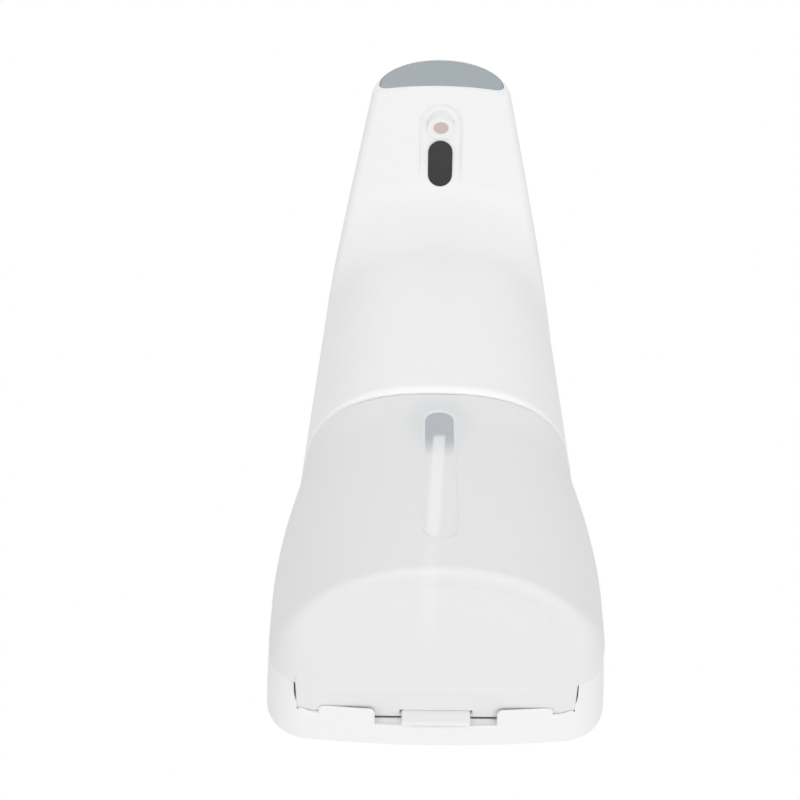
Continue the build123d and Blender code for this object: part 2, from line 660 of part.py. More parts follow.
with BuildPart() as battery_cells:
    for height in CELL_HEIGHTS:
        with BuildSketch(Plane.XZ.offset(CELLS_BACK)):
            with Locations(*[(side, h(height)) for side in CELL_SIDES]):
                Circle(CELL_RADIUS)
        extrude(amount=CELL_LONG - CELL_TIP_LONG)
        with BuildSketch(Plane.XZ.offset(CELLS_BACK + CELL_LONG - CELL_TIP_LONG)):
            with Locations(*[(side, h(height)) for side in CELL_SIDES]):
                Circle(CELL_TIP_RADIUS)
        extrude(amount=CELL_TIP_LONG)
finish(battery_cells.part, "battery_cells")

with BuildPart() as contact_plates:
    for height in CELL_HEIGHTS:
        with BuildSketch(Plane.XZ.offset(CELLS_BACK + CELL_LONG + 0.1)):
            with Locations(*[(side, h(height)) for side in CELL_SIDES]):
                Rectangle(CONTACT_SIZE, CONTACT_SIZE)
        extrude(amount=0.5)
finish(contact_plates.part, "contact_plates")

with BuildPart() as contact_springs:
    for height in CELL_HEIGHTS:
        with BuildSketch(Plane.XZ.offset(BOX_BACK + 1.7)):
            with Locations(*[(side, h(height)) for side in CELL_SIDES]):
                Circle(SPRING_OUTER)
                Circle(SPRING_INNER, mode=Mode.SUBTRACT)
        extrude(amount=CELLS_BACK - BOX_BACK - 1.8)
finish(contact_springs.part, "contact_springs")

with BuildPart() as lid_shell:
    add(outer)
    add(inner, mode=Mode.SUBTRACT)
with BuildPart() as battery_lid:
    with BuildSketch(Plane.XY.offset(h(222.0))):
        add(lid_plan(LID_GAP))
    extrude(amount=30.0)
    with BuildSketch(Plane.YZ):
        with Locations((y(HINGE_DEPTH), h(HINGE_HEIGHT))):
            Circle(KNUCKLE)
    extrude(amount=LID_HALF - LID_GAP, both=True)
    add(lid_shell.part, mode=Mode.INTERSECT)
    with BuildSketch(Plane.YZ):
        with Locations((y(HINGE_DEPTH), h(HINGE_HEIGHT))):
            Circle(HUB_RADIUS + GAP)
    extrude(amount=PIN_HALF + GAP, both=True, mode=Mode.SUBTRACT)
    # two ears under the back edge run on the pin
    for side in (-1, 1):
        with BuildSketch(Plane.YZ.offset(side * (EAR_INNER + EAR_OUTER) / 2.0)):
            with Locations((y(HINGE_DEPTH), h(HINGE_HEIGHT))):
                Circle(KNUCKLE)
                with Locations((KNUCKLE / 2.0, KNUCKLE / 2.0)):
                    Rectangle(KNUCKLE, KNUCKLE, mode=Mode.INTERSECT)
                Circle(HUB_RADIUS)
                Circle(PIN_RADIUS + 0.06, mode=Mode.SUBTRACT)
        extrude(amount=(EAR_OUTER - EAR_INNER) / 2.0, both=True)
    add(outer, mode=Mode.INTERSECT)
finish(battery_lid.part, "battery_lid")

with BuildPart() as lid_pin:
    with BuildSketch(Plane.YZ):
        with Locations((y(HINGE_DEPTH), h(HINGE_HEIGHT))):
            Circle(PIN_RADIUS)
    extrude(amount=PIN_HALF, both=True)
finish(lid_pin.part, "lid_pin")

# ---------------------------------------------------------------- power button
BUTTON_TRAVEL = 0.9
BUTTON_TOP = crown(BUTTON_DEPTH) + 0.1
with BuildPart() as power_button:
    with BuildSketch(Plane.XY.offset(h(BUTTON_TOP - 4.0))):
        with Locations((0, y(BUTTON_DEPTH))):
            Circle(BUTTON_RADIUS)
    extrude(amount=4.0)
    fillet(power_button.edges().filter_by(GeomType.CIRCLE).sort_by(Axis.Z)[-1:], 0.6)
    with BuildSketch(Plane.XY.offset(h(BUTTON_TOP - 5.2))):
        with Locations((0, y(BUTTON_DEPTH))):
            Circle(BUTTON_RADIUS + 1.4)
    extrude(amount=1.2)
    with BuildSketch(Plane.XY.offset(h(BUTTON_TOP - 7.4))):
        with Locations((0, y(BUTTON_DEPTH))):
            Circle(1.5)
    extrude(amount=2.3)
finish(power_button.part, "power_button")

with BuildPart() as button_switch:
    with BuildSketch(Plane.XY.offset(h(BUTTON_TOP - 12.2))):
        with Locations((0, y(BUTTON_DEPTH))):
            Rectangle(6.0, 6.0)
    extrude(amount=3.6)
finish(button_switch.part, "button_switch")

with BuildPart() as button_board:
    with BuildSketch(Plane.XY.offset(h(BUTTON_TOP - 13.5))):
        with Locations((0, y(BUTTON_DEPTH))):
            Rectangle(20.0, 12.0)
    extrude(amount=1.2)
finish(button_board.part, "button_board")

SPRING_LOW, SPRING_HIGH = BUTTON_TOP - 12.1, BUTTON_TOP - 5.25
with BuildPart() as button_spring:
    with BuildSketch(Plane((0, y(BUTTON_DEPTH), h(SPRING_LOW)))):
        Circle(5.4)
        Circle(4.6, mode=Mode.SUBTRACT)
    extrude(amount=SPRING_HIGH - SPRING_LOW)
finish(button_spring.part, "button_spring")

# ---------------------------------------------------------------- gear pump
PITCH_RADIUS = GEAR_MODULE * GEAR_TEETH / 2.0
GEAR_BACKLASH = 0.25
GEAR_LOW, GEAR_HIGH = 107.2, 114.8
PUMP_LOW, PUMP_HIGH = 104.0, 115.0
CAVITY_RADIUS = PITCH_RADIUS + GEAR_MODULE + 0.15
SHAFT_RADIUS = 1.0
SHAFT_FIT = 0.05
COVER_THICK = 3.0
MOTOR_RADIUS = 12.0
MOTOR_LOW, MOTOR_HIGH = 121.0, 147.0
PORT_OFFSET = 7.0          # the inlet and outlet ports stand this far from the gears' line
OUTLET_HEIGHT = 111.0
OUTLET_BORE = 0.8
INLET_LOW = 100.6          # foot of the inlet port, on the coupling
INLET_BORE = 1.8
PUMP_LONG, PUMP_WIDE, PUMP_CORNER = 32.0, 24.0, 5.0
PIN_LOW = PUMP_LOW + 0.8   # foot of the idler pin
PUMP_SCREW_X, PUMP_SCREW_Y = 13.0, 9.0
SEAL_RADIUS = 5.0


def gear_face(phase):
    """Profile of a small straight-sided gear, with one tooth centred at phase degrees."""
    tip = PITCH_RADIUS + 0.9 * GEAR_MODULE
    root = PITCH_RADIUS - 1.15 * GEAR_MODULE
    pitch = 360.0 / GEAR_TEETH
    points = []
    for tooth in range(GEAR_TEETH):
        middle = phase + pitch * tooth
        for radius, share in ((root, -0.36), (tip, -0.12), (tip, 0.12), (root, 0.36)):
            angle = radians(middle + share * pitch)
            points.append((radius * cos(angle), radius * sin(angle)))
    return points


with BuildPart() as drive_gear:
    with BuildSketch(Plane((PITCH_RADIUS, y(PUMP_DEPTH), h(GEAR_LOW)))):
        with BuildLine():
            Polyline(*gear_face(0.0), close=True)
        make_face()
        Circle(SHAFT_RADIUS, mode=Mode.SUBTRACT)
    extrude(amount=GEAR_HIGH - GEAR_LOW)
finish(drive_gear.part, "drive_gear")

with BuildPart() as driven_gear:
    with BuildSketch(Plane((-PITCH_RADIUS, y(PUMP_DEPTH), h(GEAR_LOW)))):
        with BuildLine():
            Polyline(*gear_face(180.0 / GEAR_TEETH), close=True)
        make_face()
        Circle(SHAFT_RADIUS + SHAFT_FIT, mode=Mode.SUBTRACT)
    extrude(amount=GEAR_HIGH - GEAR_LOW)
finish(driven_gear.part, "driven_gear")

with BuildPart() as idler_pin:
    with BuildSketch(Plane((-PITCH_RADIUS, y(PUMP_DEPTH), h(PIN_LOW)))):
        Circle(SHAFT_RADIUS)
    extrude(amount=GEAR_HIGH - PIN_LOW - 0.1)
finish(idler_pin.part, "idler_pin")

with BuildPart() as motor_shaft:
    with BuildSketch(Plane((PITCH_RADIUS, y(PUMP_DEPTH), h(GEAR_LOW)))):
        Circle(SHAFT_RADIUS)
    extrude(amount=MOTOR_HIGH + 2.0 - GEAR_LOW)
finish(motor_shaft.part, "motor_shaft")

with BuildPart() as pump_housing:
    with BuildSketch(Plane((0, y(PUMP_DEPTH), h(PUMP_LOW)))):
        RectangleRounded(PUMP_LONG, PUMP_WIDE, PUMP_CORNER)
    extrude(amount=PUMP_HIGH - PUMP_LOW)
    with BuildSketch(Plane((0, y(PUMP_DEPTH), h(GEAR_LOW - 0.1)))):
        with Locations((PITCH_RADIUS, 0), (-PITCH_RADIUS, 0)):
            Circle(CAVITY_RADIUS)
        with Locations((0, PORT_OFFSET / 2.0), (0, -PORT_OFFSET / 2.0)):
            Rectangle(5.0, PORT_OFFSET)
    extrude(amount=10.0, mode=Mode.SUBTRACT)
    with BuildSketch(Plane.YZ.offset(-12.0)):
        with Locations((y(PUMP_DEPTH - PORT_OFFSET), h(OUTLET_HEIGHT))):
            Circle(HOSE_BORE - 0.05)
    extrude(amount=-10.0)
    with BuildSketch(Plane.YZ):
        with Locations((y(PUMP_DEPTH - PORT_OFFSET), h(OUTLET_HEIGHT))):
            Circle(OUTLET_BORE)
    extrude(amount=-22.5, mode=Mode.SUBTRACT)
    with BuildSketch(Plane((0, y(PUMP_DEPTH + PORT_OFFSET), h(INLET_LOW)))):
        Circle(4.0)
    extrude(amount=PUMP_LOW - INLET_LOW + 0.2)
    with Locations((0, y(PUMP_DEPTH + PORT_OFFSET), h(PUMP_LOW))):
        Hole(INLET_BORE)
    with BuildSketch(Plane((-PITCH_RADIUS, y(PUMP_DEPTH), h(PIN_LOW)))):
        Circle(SHAFT_RADIUS)
    extrude(amount=10.0, mode=Mode.SUBTRACT)
    with BuildSketch(Plane((0, y(PUMP_DEPTH), h(PUMP_LOW)))):
        with GridLocations(2.0 * PUMP_SCREW_X, 2.0 * PUMP_SCREW_Y, 2, 2):
            Circle(0.9)
    extrude(amount=14.0, mode=Mode.SUBTRACT)
finish(pump_housing.part, "pump_housing")

with BuildPart() as pump_cover:
    with BuildSketch(Plane((0, y(PUMP_DEPTH), h(PUMP_HIGH + 0.05)))):
        RectangleRounded(PUMP_LONG, PUMP_WIDE, PUMP_CORNER)
    extrude(amount=COVER_THICK)
    with BuildSketch(Plane((PITCH_RADIUS, y(PUMP_DEPTH), h(PUMP_HIGH + COVER_THICK)))):
        Circle(MOTOR_RADIUS - 0.8)
        Circle(SEAL_RADIUS + 0.2, mode=Mode.SUBTRACT)
    extrude(amount=MOTOR_LOW - PUMP_HIGH - COVER_THICK - 0.05)
    with BuildSketch(Plane((0, y(PUMP_DEPTH), h(PUMP_HIGH)))):
        with Locations((PITCH_RADIUS, 0)):
            Circle(SHAFT_RADIUS + SHAFT_FIT)
    extrude(amount=COVER_THICK + 0.1, mode=Mode.SUBTRACT)
    with BuildSketch(Plane((0, y(PUMP_DEPTH), h(PUMP_HIGH)))):
        with Locations((-PUMP_SCREW_X, PUMP_SCREW_Y), (-PUMP_SCREW_X, -PUMP_SCREW_Y)):
            Circle(1.1)
    extrude(amount=COVER_THICK + 1.0, mode=Mode.SUBTRACT)
finish(pump_cover.part, "pump_cover")

with BuildPart() as pump_screws:
    with BuildSketch(Plane((0, y(PUMP_DEPTH), h(PUMP_LOW + 3.0)))):
        with Locations((-PUMP_SCREW_X, PUMP_SCREW_Y), (-PUMP_SCREW_X, -PUMP_SCREW_Y)):
            Circle(0.85)
    extrude(amount=PUMP_HIGH + COVER_THICK + 0.1 - PUMP_LOW - 3.0)
    with BuildSketch(Plane((0, y(PUMP_DEPTH), h(PUMP_HIGH + COVER_THICK + 0.1)))):
        with Locations((-PUMP_SCREW_X, PUMP_SCREW_Y), (-PUMP_SCREW_X, -PUMP_SCREW_Y)):
            Circle(1.9)
    extrude(amount=1.4)
finish(pump_screws.part, "pump_screws")

with BuildPart() as shaft_seal:
    with BuildSketch(Plane((PITCH_RADIUS, y(PUMP_DEPTH), h(PUMP_HIGH + COVER_THICK + 0.1)))):
        Circle(SEAL_RADIUS)
        Circle(SHAFT_RADIUS + SHAFT_FIT, mode=Mode.SUBTRACT)
    extrude(amount=2.4)
finish(shaft_seal.part, "shaft_seal")

with BuildPart() as pump_motor:
    with BuildSketch(Plane((PITCH_RADIUS, y(PUMP_DEPTH), h(MOTOR_LOW + 0.05)))):
        Circle(MOTOR_RADIUS)
    extrude(amount=MOTOR_HIGH - MOTOR_LOW)
    chamfer(pump_motor.edges().filter_by(GeomType.CIRCLE).sort_by(Axis.Z)[-1:], 1.2)
    with BuildSketch(Plane((PITCH_RADIUS, y(PUMP_DEPTH), h(MOTOR_LOW)))):
        Circle(SHAFT_RADIUS + SHAFT_FIT)
    extrude(amount=40.0, mode=Mode.SUBTRACT)
finish(pump_motor.part, "pump_motor")

with BuildPart() as outlet_hose:
    with BuildLine() as hose_path:
        FilletPolyline(
            (-18.5, y(PUMP_DEPTH - PORT_OFFSET), h(OUTLET_HEIGHT)),
            (-31.0, y(PUMP_DEPTH - PORT_OFFSET), h(OUTLET_HEIGHT)),
            (-31.0, y(36.0), h(190.0)),
            (-22.0, y(68.0), h(211.0)),
            (0, y(77.0), h(HOSE_HEIGHT)),
            (0, y(NOZZLE_DEPTH - 4.6), h(HOSE_HEIGHT)),
            radius=(9.0, 14.0, 12.0, 7.0),
        )
    with BuildSketch(Plane(hose_path.line @ 0, z_dir=hose_path.line % 0)):
        Circle(HOSE_RADIUS)
        Circle(HOSE_BORE, mode=Mode.SUBTRACT)
    sweep()
finish(outlet_hose.part, "outlet_hose")

# ---------------------------------------------------------------- coupling on the ceiling
SEAL_LOW = 94.7
with BuildPart() as inlet_coupling:
    with BuildSketch(Plane((0, y(CAP_DEPTH), h(SEAL_LOW + 1.2)))):
        Circle(COUPLING_RADIUS)
        Circle(INLET_BORE, mode=Mode.SUBTRACT)
    extrude(amount=INLET_LOW - 0.1 - SEAL_LOW - 1.2)
finish(inlet_coupling.part, "inlet_coupling")

with BuildPart() as coupling_seal:
    with BuildSketch(Plane((0, y(CAP_DEPTH), h(SEAL_LOW)))):
        Circle(6.0)
        Circle(3.2, mode=Mode.SUBTRACT)
    extrude(amount=1.15)
finish(coupling_seal.part, "coupling_seal")

# ---------------------------------------------------------------- control board
with BuildPart() as main_board:
    with BuildSketch(Plane.XZ.offset(BOARD_BACK)):
        with Locations((0, h((BOARD_LOW + BOARD_HIGH) / 2.0))):
            Rectangle(56.0, BOARD_HIGH - BOARD_LOW)
            with GridLocations(BOARD_SCREW_X, BOARD_SCREW_Z, 2, 2):
                Circle(1.1, mode=Mode.SUBTRACT)
    extrude(amount=1.6)
finish(main_board.part, "main_board")

with BuildPart() as board_parts:
    with BuildSketch(Plane.XZ.offset(BOARD_BACK + 1.65)):
        with Locations((-8.0, h(160.0))):
            Rectangle(9.0, 9.0)
        with Locations((10.0, h(166.0))):
            Circle(4.0)
        with Locations((14.0, h(140.0))):
            Rectangle(12.0, 6.0)
        with Locations((-12.0, h(136.0))):
            Rectangle(7.0, 5.0)
    extrude(amount=2.6)
finish(board_parts.part, "board_parts")

with BuildPart() as board_screws:
    with BuildSketch(Plane.XZ.offset(BACK_WALL_FRONT + 1.0)):
        with Locations((0, h((BOARD_LOW + BOARD_HIGH) / 2.0))):
            with GridLocations(BOARD_SCREW_X, BOARD_SCREW_Z, 2, 2):
                Circle(0.9)
    extrude(amount=BOARD_BACK + 1.65 - BACK_WALL_FRONT - 1.0)
    with BuildSketch(Plane.XZ.offset(BOARD_BACK + 1.65)):
        with Locations((0, h((BOARD_LOW + BOARD_HIGH) / 2.0))):
            with GridLocations(BOARD_SCREW_X, BOARD_SCREW_Z, 2, 2):
                Circle(2.0)
    extrude(amount=1.3)
finish(board_screws.part, "board_screws")

# ---------------------------------------------------------------- tank
TANK_POWER = 2.1           # superellipse power of the tank's plan
TANK_SIDE_INSET = 1.4      # the tank's top steps in under the lip
TANK_BEVEL = 2.6           # the bottom edge is rounded off by this much
TANK_REAR_REACH = 4.0      # the rear block runs this far into the front one
LATCH_BACK, LATCH_FRONT = 9.1, 11.1
LATCH_LOW, LATCH_HIGH = 1.4, 8.4
LATCH_POCKET_TOP = TANK_BOTTOM + 4.6
LATCH_BLOCK_TOP = TANK_BOTTOM + 7.0
LATCH_BLOCK_FRONT = TANK_BACK + 6.6
DECK_SLOT_HALF = 13.0      # the deck's rear wall is open here, so that the coupling passes


def tank_half(height):
    """Half width of the tank's front where it meets the housing."""
    return base_half(height) * plan_taper(SPLIT_DEPTH)


def tank_front(height):
    """Depth of the tank's front."""
    share = (TANK_TOP - height) / (TANK_TOP - TANK_BOTTOM)
    return TANK_FRONT_TOP + (TANK_FRONT_BOTTOM - TANK_FRONT_TOP) * share


def tank_shell(inset, low, high):
    """Solid of the tank moved inwards by inset, between two heights."""
    with BuildPart() as front:
        loft(
            sections=[
                plan_section(
                    height,
                    tank_half(height) - TANK_SIDE_INSET * smooth_step((height - 60.0) / 37.0) - inset,
                    tank_front(height) - inset,
                    TANK_POWER,
                    SPLIT_DEPTH + GAP,
                )
                for height in (low, low + (high - low) * 0.33, low + (high - low) * 0.67, high)
            ]
        )
        add(slab(SPLIT_DEPTH + GAP + inset, 100.0, low, high), mode=Mode.INTERSECT)
        with BuildSketch(Plane.XY.offset(h(low))):
            with Locations((0, y((TANK_BACK + SPLIT_DEPTH + TANK_REAR_REACH + inset) / 2.0))):
                RectangleRounded(
                    2.0 * (TANK_REAR_HALF - inset),
                    SPLIT_DEPTH + TANK_REAR_REACH - TANK_BACK - inset,
                    TANK_REAR_CORNER - inset,
                )
        extrude(amount=high - low)
    return front.part


with BuildPart() as tank_foot:
    loft(
        sections=[
            plan_section(
                height,
                tank_half(height) - inset,
                tank_front(height) - inset,
                TANK_POWER,
                SPLIT_DEPTH + GAP,
            )
            for height, inset in ((TANK_BOTTOM, TANK_BEVEL), (TANK_BOTTOM + TANK_BEVEL, 0.0))
        ]
    )
    add(slab(SPLIT_DEPTH + GAP, 100.0, TANK_BOTTOM, 20.0), mode=Mode.INTERSECT)
    with BuildSketch(Plane.XY.offset(h(TANK_BOTTOM))):
        with Locations((0, y((TANK_BACK + SPLIT_DEPTH + TANK_REAR_REACH) / 2.0))):
            RectangleRounded(
                2.0 * TANK_REAR_HALF, SPLIT_DEPTH + TANK_REAR_REACH - TANK_BACK, TANK_REAR_CORNER
            )
    extrude(amount=TANK_BEVEL)

with BuildPart() as tank:
    add(tank_foot.part)
    add(tank_shell(0.0, TANK_BOTTOM + TANK_BEVEL, TANK_TOP))
    add(tank_shell(TANK_WALL, TANK_BOTTOM + TANK_WALL, TANK_DECK - TANK_WALL), mode=Mode.SUBTRACT)
    add(tank_shell(TANK_WALL, TANK_DECK, TANK_TOP + 1.0), mode=Mode.SUBTRACT)
    with BuildSketch(Plane.XY.offset(h(TANK_DECK))):
        with Locations((0, y(TANK_BACK))):
            Rectangle(2.0 * DECK_SLOT_HALF, 12.0)
    extrude(amount=20.0, mode=Mode.SUBTRACT)
    with BuildSketch(Plane.XY.offset(h(TANK_DECK - TANK_WALL - 1.0))):
        with Locations((0, y(CAP_DEPTH))):
            Circle(FILLER_RADIUS)
    extrude(amount=8.0, mode=Mode.SUBTRACT)
    # blind pocket that the latch stands up into
    with BuildSketch(Plane.XY.offset(h(TANK_BOTTOM))):
        with Locations((0, y((TANK_BACK + LATCH_BLOCK_FRONT) / 2.0))):
            Rectangle(2.0 * LATCH_HALF + 6.0, LATCH_BLOCK_FRONT - TANK_BACK)
    extrude(amount=LATCH_BLOCK_TOP - TANK_BOTTOM)
    with BuildSketch(Plane.XY.offset(h(TANK_BOTTOM))):
        with Locations((0, y((LATCH_BACK + LATCH_FRONT) / 2.0))):
            Rectangle(2.0 * (LATCH_HALF + 2.0 * GAP), LATCH_FRONT - LATCH_BACK + 2.0 * GAP)
    extrude(amount=LATCH_POCKET_TOP - TANK_BOTTOM, mode=Mode.SUBTRACT)
finish(tank.part, "tank")

with BuildPart() as cap_seal:
    with BuildSketch(Plane((0, y(CAP_DEPTH), h(TANK_DECK + 0.05)))):
        Circle(CAP_RADIUS - 0.4)
        Circle(FILLER_RADIUS - 0.2, mode=Mode.SUBTRACT)
    extrude(amount=0.8)
finish(cap_seal.part, "cap_seal")

TUBE_RADIUS, TUBE_BORE = 2.3, 1.6
TUBE_TOP = 84.0
with BuildPart() as tank_cap:
    with BuildSketch(Plane((0, y(CAP_DEPTH), h(TANK_DECK + 0.9)))):
        Circle(CAP_RADIUS)
    extrude(amount=SEAL_LOW - 0.1 - TANK_DECK - 0.9)
    fillet(tank_cap.edges().filter_by(GeomType.CIRCLE).sort_by(Axis.Z)[-1:], 0.6)
    with BuildSketch(Plane((0, y(CAP_DEPTH), h(TUBE_TOP)))):
        Circle(FILLER_RADIUS - 0.3)
        Circle(FILLER_RADIUS - 2.0, mode=Mode.SUBTRACT)
        Circle(TUBE_RADIUS + 1.3)
    extrude(amount=TANK_DECK + 0.9 - TUBE_TOP)
    with BuildSketch(Plane((0, y(CAP_DEPTH), h(TUBE_TOP)))):
        Circle(TUBE_RADIUS)
    extrude(amount=6.0, mode=Mode.SUBTRACT)
    with BuildSketch(Plane((0, y(CAP_DEPTH), h(TUBE_TOP)))):
        Circle(TUBE_BORE)
    extrude(amount=20.0, mode=Mode.SUBTRACT)
    with BuildSketch(Plane((0, y(CAP_DEPTH), h(SEAL_LOW - 1.1)))):
        with Locations((-9.2, 0), (9.2, 0)):
            SlotOverall(7.0, 1.8, rotation=90)
    extrude(amount=2.0, mode=Mode.SUBTRACT)
finish(tank_cap.part, "tank_cap")

TUBE_FOOT = (-3.0, y(50.5), h(11.6))
with BuildPart() as dip_tube:
    with BuildLine() as tube_path:
        FilletPolyline(
            (0, y(CAP_DEPTH), h(TUBE_TOP + 6.0)),
            (0, y(CAP_DEPTH), h(TUBE_TOP - 8.0)),
            TUBE_FOOT,
            radius=40.0,
        )
    with BuildSketch(Plane(tube_path.line @ 0, z_dir=tube_path.line % 0)):
        Circle(TUBE_RADIUS)
        Circle(TUBE_BORE, mode=Mode.SUBTRACT)
    sweep()
finish(dip_tube.part, "dip_tube")

with BuildPart() as tube_filter:
    with BuildSketch(Plane((TUBE_FOOT[0], TUBE_FOOT[1], h(8.6)))):
        Circle(3.6)
    extrude(amount=2.2)
    with BuildSketch(Plane((TUBE_FOOT[0], TUBE_FOOT[1], h(8.6)))):
        with PolarLocations(2.2, 6):
            Circle(0.5)
        Circle(0.9)
    extrude(amount=4.0, mode=Mode.SUBTRACT)
finish(tube_filter.part, "tube_filter")

# ---------------------------------------------------------------- tank latch
with BuildPart() as tank_latch:
    with BuildSketch(Plane.XY.offset(h(LATCH_LOW))):
        with Locations((0, y((LATCH_BACK + LATCH_FRONT) / 2.0))):
            RectangleRounded(2.0 * LATCH_HALF, LATCH_FRONT - LATCH_BACK, 0.9)
    extrude(amount=LATCH_HIGH - LATCH_LOW)
finish(tank_latch.part, "tank_latch")
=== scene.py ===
"""Wall mounted automatic soap dispenser: smooth shells, tank and looks around the CAD frame.

Shapes are worked out in millimetres as x, depth forward of the wall, and height above the bottom
edge, and placed in the frame by place(): X = x, Y = -depth, Z = height - SCREW_HEIGHT.
"""

import json
import math

import bmesh
import bpy
import numpy as np
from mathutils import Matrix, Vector


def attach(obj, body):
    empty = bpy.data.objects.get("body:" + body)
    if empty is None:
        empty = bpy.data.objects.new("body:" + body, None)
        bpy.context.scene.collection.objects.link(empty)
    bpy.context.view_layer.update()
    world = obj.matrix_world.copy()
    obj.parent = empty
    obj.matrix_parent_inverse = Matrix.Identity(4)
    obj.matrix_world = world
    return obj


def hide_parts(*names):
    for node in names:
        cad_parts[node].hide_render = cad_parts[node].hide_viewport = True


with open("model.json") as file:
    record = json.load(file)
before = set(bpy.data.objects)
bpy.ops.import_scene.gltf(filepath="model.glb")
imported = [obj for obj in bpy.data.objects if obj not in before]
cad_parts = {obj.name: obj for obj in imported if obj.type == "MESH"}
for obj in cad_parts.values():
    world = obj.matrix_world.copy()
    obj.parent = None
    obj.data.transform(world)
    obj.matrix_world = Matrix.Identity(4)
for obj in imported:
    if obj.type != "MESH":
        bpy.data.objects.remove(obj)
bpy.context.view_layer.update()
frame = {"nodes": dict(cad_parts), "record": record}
nodes = frame["nodes"]

# ---------------------------------------------------------------- driving dimensions, mm
SCREW_HEIGHT = 130.0
TOP_HEIGHT = 240.0
LIP_HEIGHT = 97.5
WALL_HALF_LIP = 48.5
SIDE_TAPER = 0.0605
TAPER_START, TAPER_SOFT = 25.0, 400.0
TAPER_HALF, TAPER_SLOPE, TAPER_WHOLE = 43.5, 0.108, 42.75
BODY_FRONT_LIP = 63.4
BODY_FRONT_NECK = 60.0
NECK_HEIGHT = 172.0
TIP_DEPTH = 108.0
TIP_UNDERSIDE = 208.0
TIP_CROWN = 226.5
UNDERSIDE_SLOPE = math.radians(21.0)
NECK_BLEND = 17.0
NECK_EDGE, HEAD_EDGE, EDGE_CHANGE = 0.9, 3.0, 10.0
TIP_EDGE = 1.2
TIP_PLAN_RADIUS = 130.0
TIP_PLAN_LIMIT = 60.0
BODY_WIDER = 0.4
PLAN_POWER = 2.65
CROWN_POWER = 2.2
SHELL = 2.2
GAP = 0.3
SPLIT_DEPTH = 24.0
BASE_HALF = 55.2
BASE_NARROWS, BASE_NARROW_FROM, BASE_NARROW_OVER = 6.9, 34.0, 70.0
CHANNEL_HALF = 8.2
CHANNEL_START, CHANNEL_TOP = 60.0, 102.5
CHANNEL_EDGE = 1.3
CHANNEL_SINK = 0.7
CHANNEL_FADE, CHANNEL_FADE_LONG = 70.0, 14.0
TANK_TOP = 97.2
TANK_BOTTOM = 5.8
TANK_WALL = 2.2
TANK_FRONT_TOP = 62.6
TANK_FRONT_BOTTOM = 82.6
TANK_BACK = 7.3
TANK_REAR_HALF = 44.5
WINDOW_DEPTH = 81.2
NOZZLE_DEPTH = 95.0
CAP_DEPTH = 47.0


def place(x, depth, height):
    """Frame position, in metres, of a point in millimetres."""
    return Vector((x / 1000.0, -depth / 1000.0, (height - SCREW_HEIGHT) / 1000.0))


# ---------------------------------------------------------------- fields
# Each gives the distance in mm outside a surface, negative within it.
def oval(across, half, along, reach, power):
    """Distance outside a superellipse quadrant with half sizes half and reach."""
    u = across / half
    v = along / reach
    size = np.maximum((u**power + v**power) ** (1.0 / power), 1e-6)
    slope = np.hypot((u / size) ** (power - 1.0) / half, (v / size) ** (power - 1.0) / reach)
    return (size - 1.0) / slope


def both(a, b, radius):
    """Inside both fields, with the edge between them rounded by radius."""
    u = np.maximum(a + radius, 0.0)
    v = np.maximum(b + radius, 0.0)
    return np.minimum(np.maximum(a, b), -radius) + np.hypot(u, v)


def either(a, b, radius):
    """Inside either field, with a hollow fillet of about that radius between them."""
    return -both(-a, -b, radius)


def ease(value):
    """Smooth rise from 0 to 1."""
    value = np.clip(value, 0.0, 1.0)
    return value * value * (3.0 - 2.0 * value)


def underside(depth):
    """Height of the head's sloping underside."""
    return TIP_UNDERSIDE - (TIP_DEPTH - depth) * math.tan(UNDERSIDE_SLOPE)


def crown(depth):
    """Height of the head's top along its middle."""
    return TOP_HEIGHT - (TOP_HEIGHT - TIP_CROWN) * depth / TIP_DEPTH


def wall_half(height):
    """Half width of the body at the wall."""
    return WALL_HALF_LIP - SIDE_TAPER * (height - LIP_HEIGHT)


def plan_taper(depth):
    """Share of the width at the wall left at a depth: level at first, then a steady slope."""
    reach = depth - TAPER_START
    bend = reach + np.sqrt(reach * reach + TAPER_SOFT)
    return (TAPER_HALF - TAPER_SLOPE * bend) / TAPER_WHOLE


def channel(x, depth):
    """Depth of the shallow arch-topped recess around the nozzle and the sensor window."""
    along = np.clip(depth, CHANNEL_START, CHANNEL_TOP - CHANNEL_HALF)
    away = np.hypot(x, depth - along)
    inside = ease((CHANNEL_HALF - away) / CHANNEL_EDGE)
    return CHANNEL_SINK * inside * ease((depth - CHANNEL_FADE) / CHANNEL_FADE_LONG)


def upper_form(x, depth, height):
    """Outside of the body and its overhanging head."""
    side = np.abs(x)
    front = BODY_FRONT_LIP + (BODY_FRONT_NECK - BODY_FRONT_LIP) * (height - LIP_HEIGHT) / (
        NECK_HEIGHT - LIP_HEIGHT
    )
    column = oval(side, wall_half(height) + BODY_WIDER, np.maximum(depth, 0.0), front, PLAN_POWER)
    below = (underside(depth) - height) * math.cos(UNDERSIDE_SLOPE) + channel(x, depth)
    body = either(column, below, NECK_BLEND)
    spring = underside(depth)
    rise = crown(depth) - spring
    half = wall_half(height) * plan_taper(depth)
    arch = oval(side, half, np.maximum(height - spring, 0.0), rise, CROWN_POWER)
    form = both(body, arch, NECK_EDGE + (HEAD_EDGE - NECK_EDGE) * ease(column / EDGE_CHANGE))
    bow = TIP_PLAN_RADIUS - np.sqrt(TIP_PLAN_RADIUS**2 - np.minimum(side, TIP_PLAN_LIMIT) ** 2)
    return both(form, depth - (TIP_DEPTH - bow), TIP_EDGE)


def base_half(height):
    """Half width of the housing and the tank at the wall."""
    return BASE_HALF - BASE_NARROWS * ease((height - BASE_NARROW_FROM) / BASE_NARROW_OVER)


# ---------------------------------------------------------------- meshes from fields
SLOPE_STEP = 0.04
SLOPE_LEAST, MOVE_MOST = 1e-4, 0.4
ON_SURFACE = 0.12


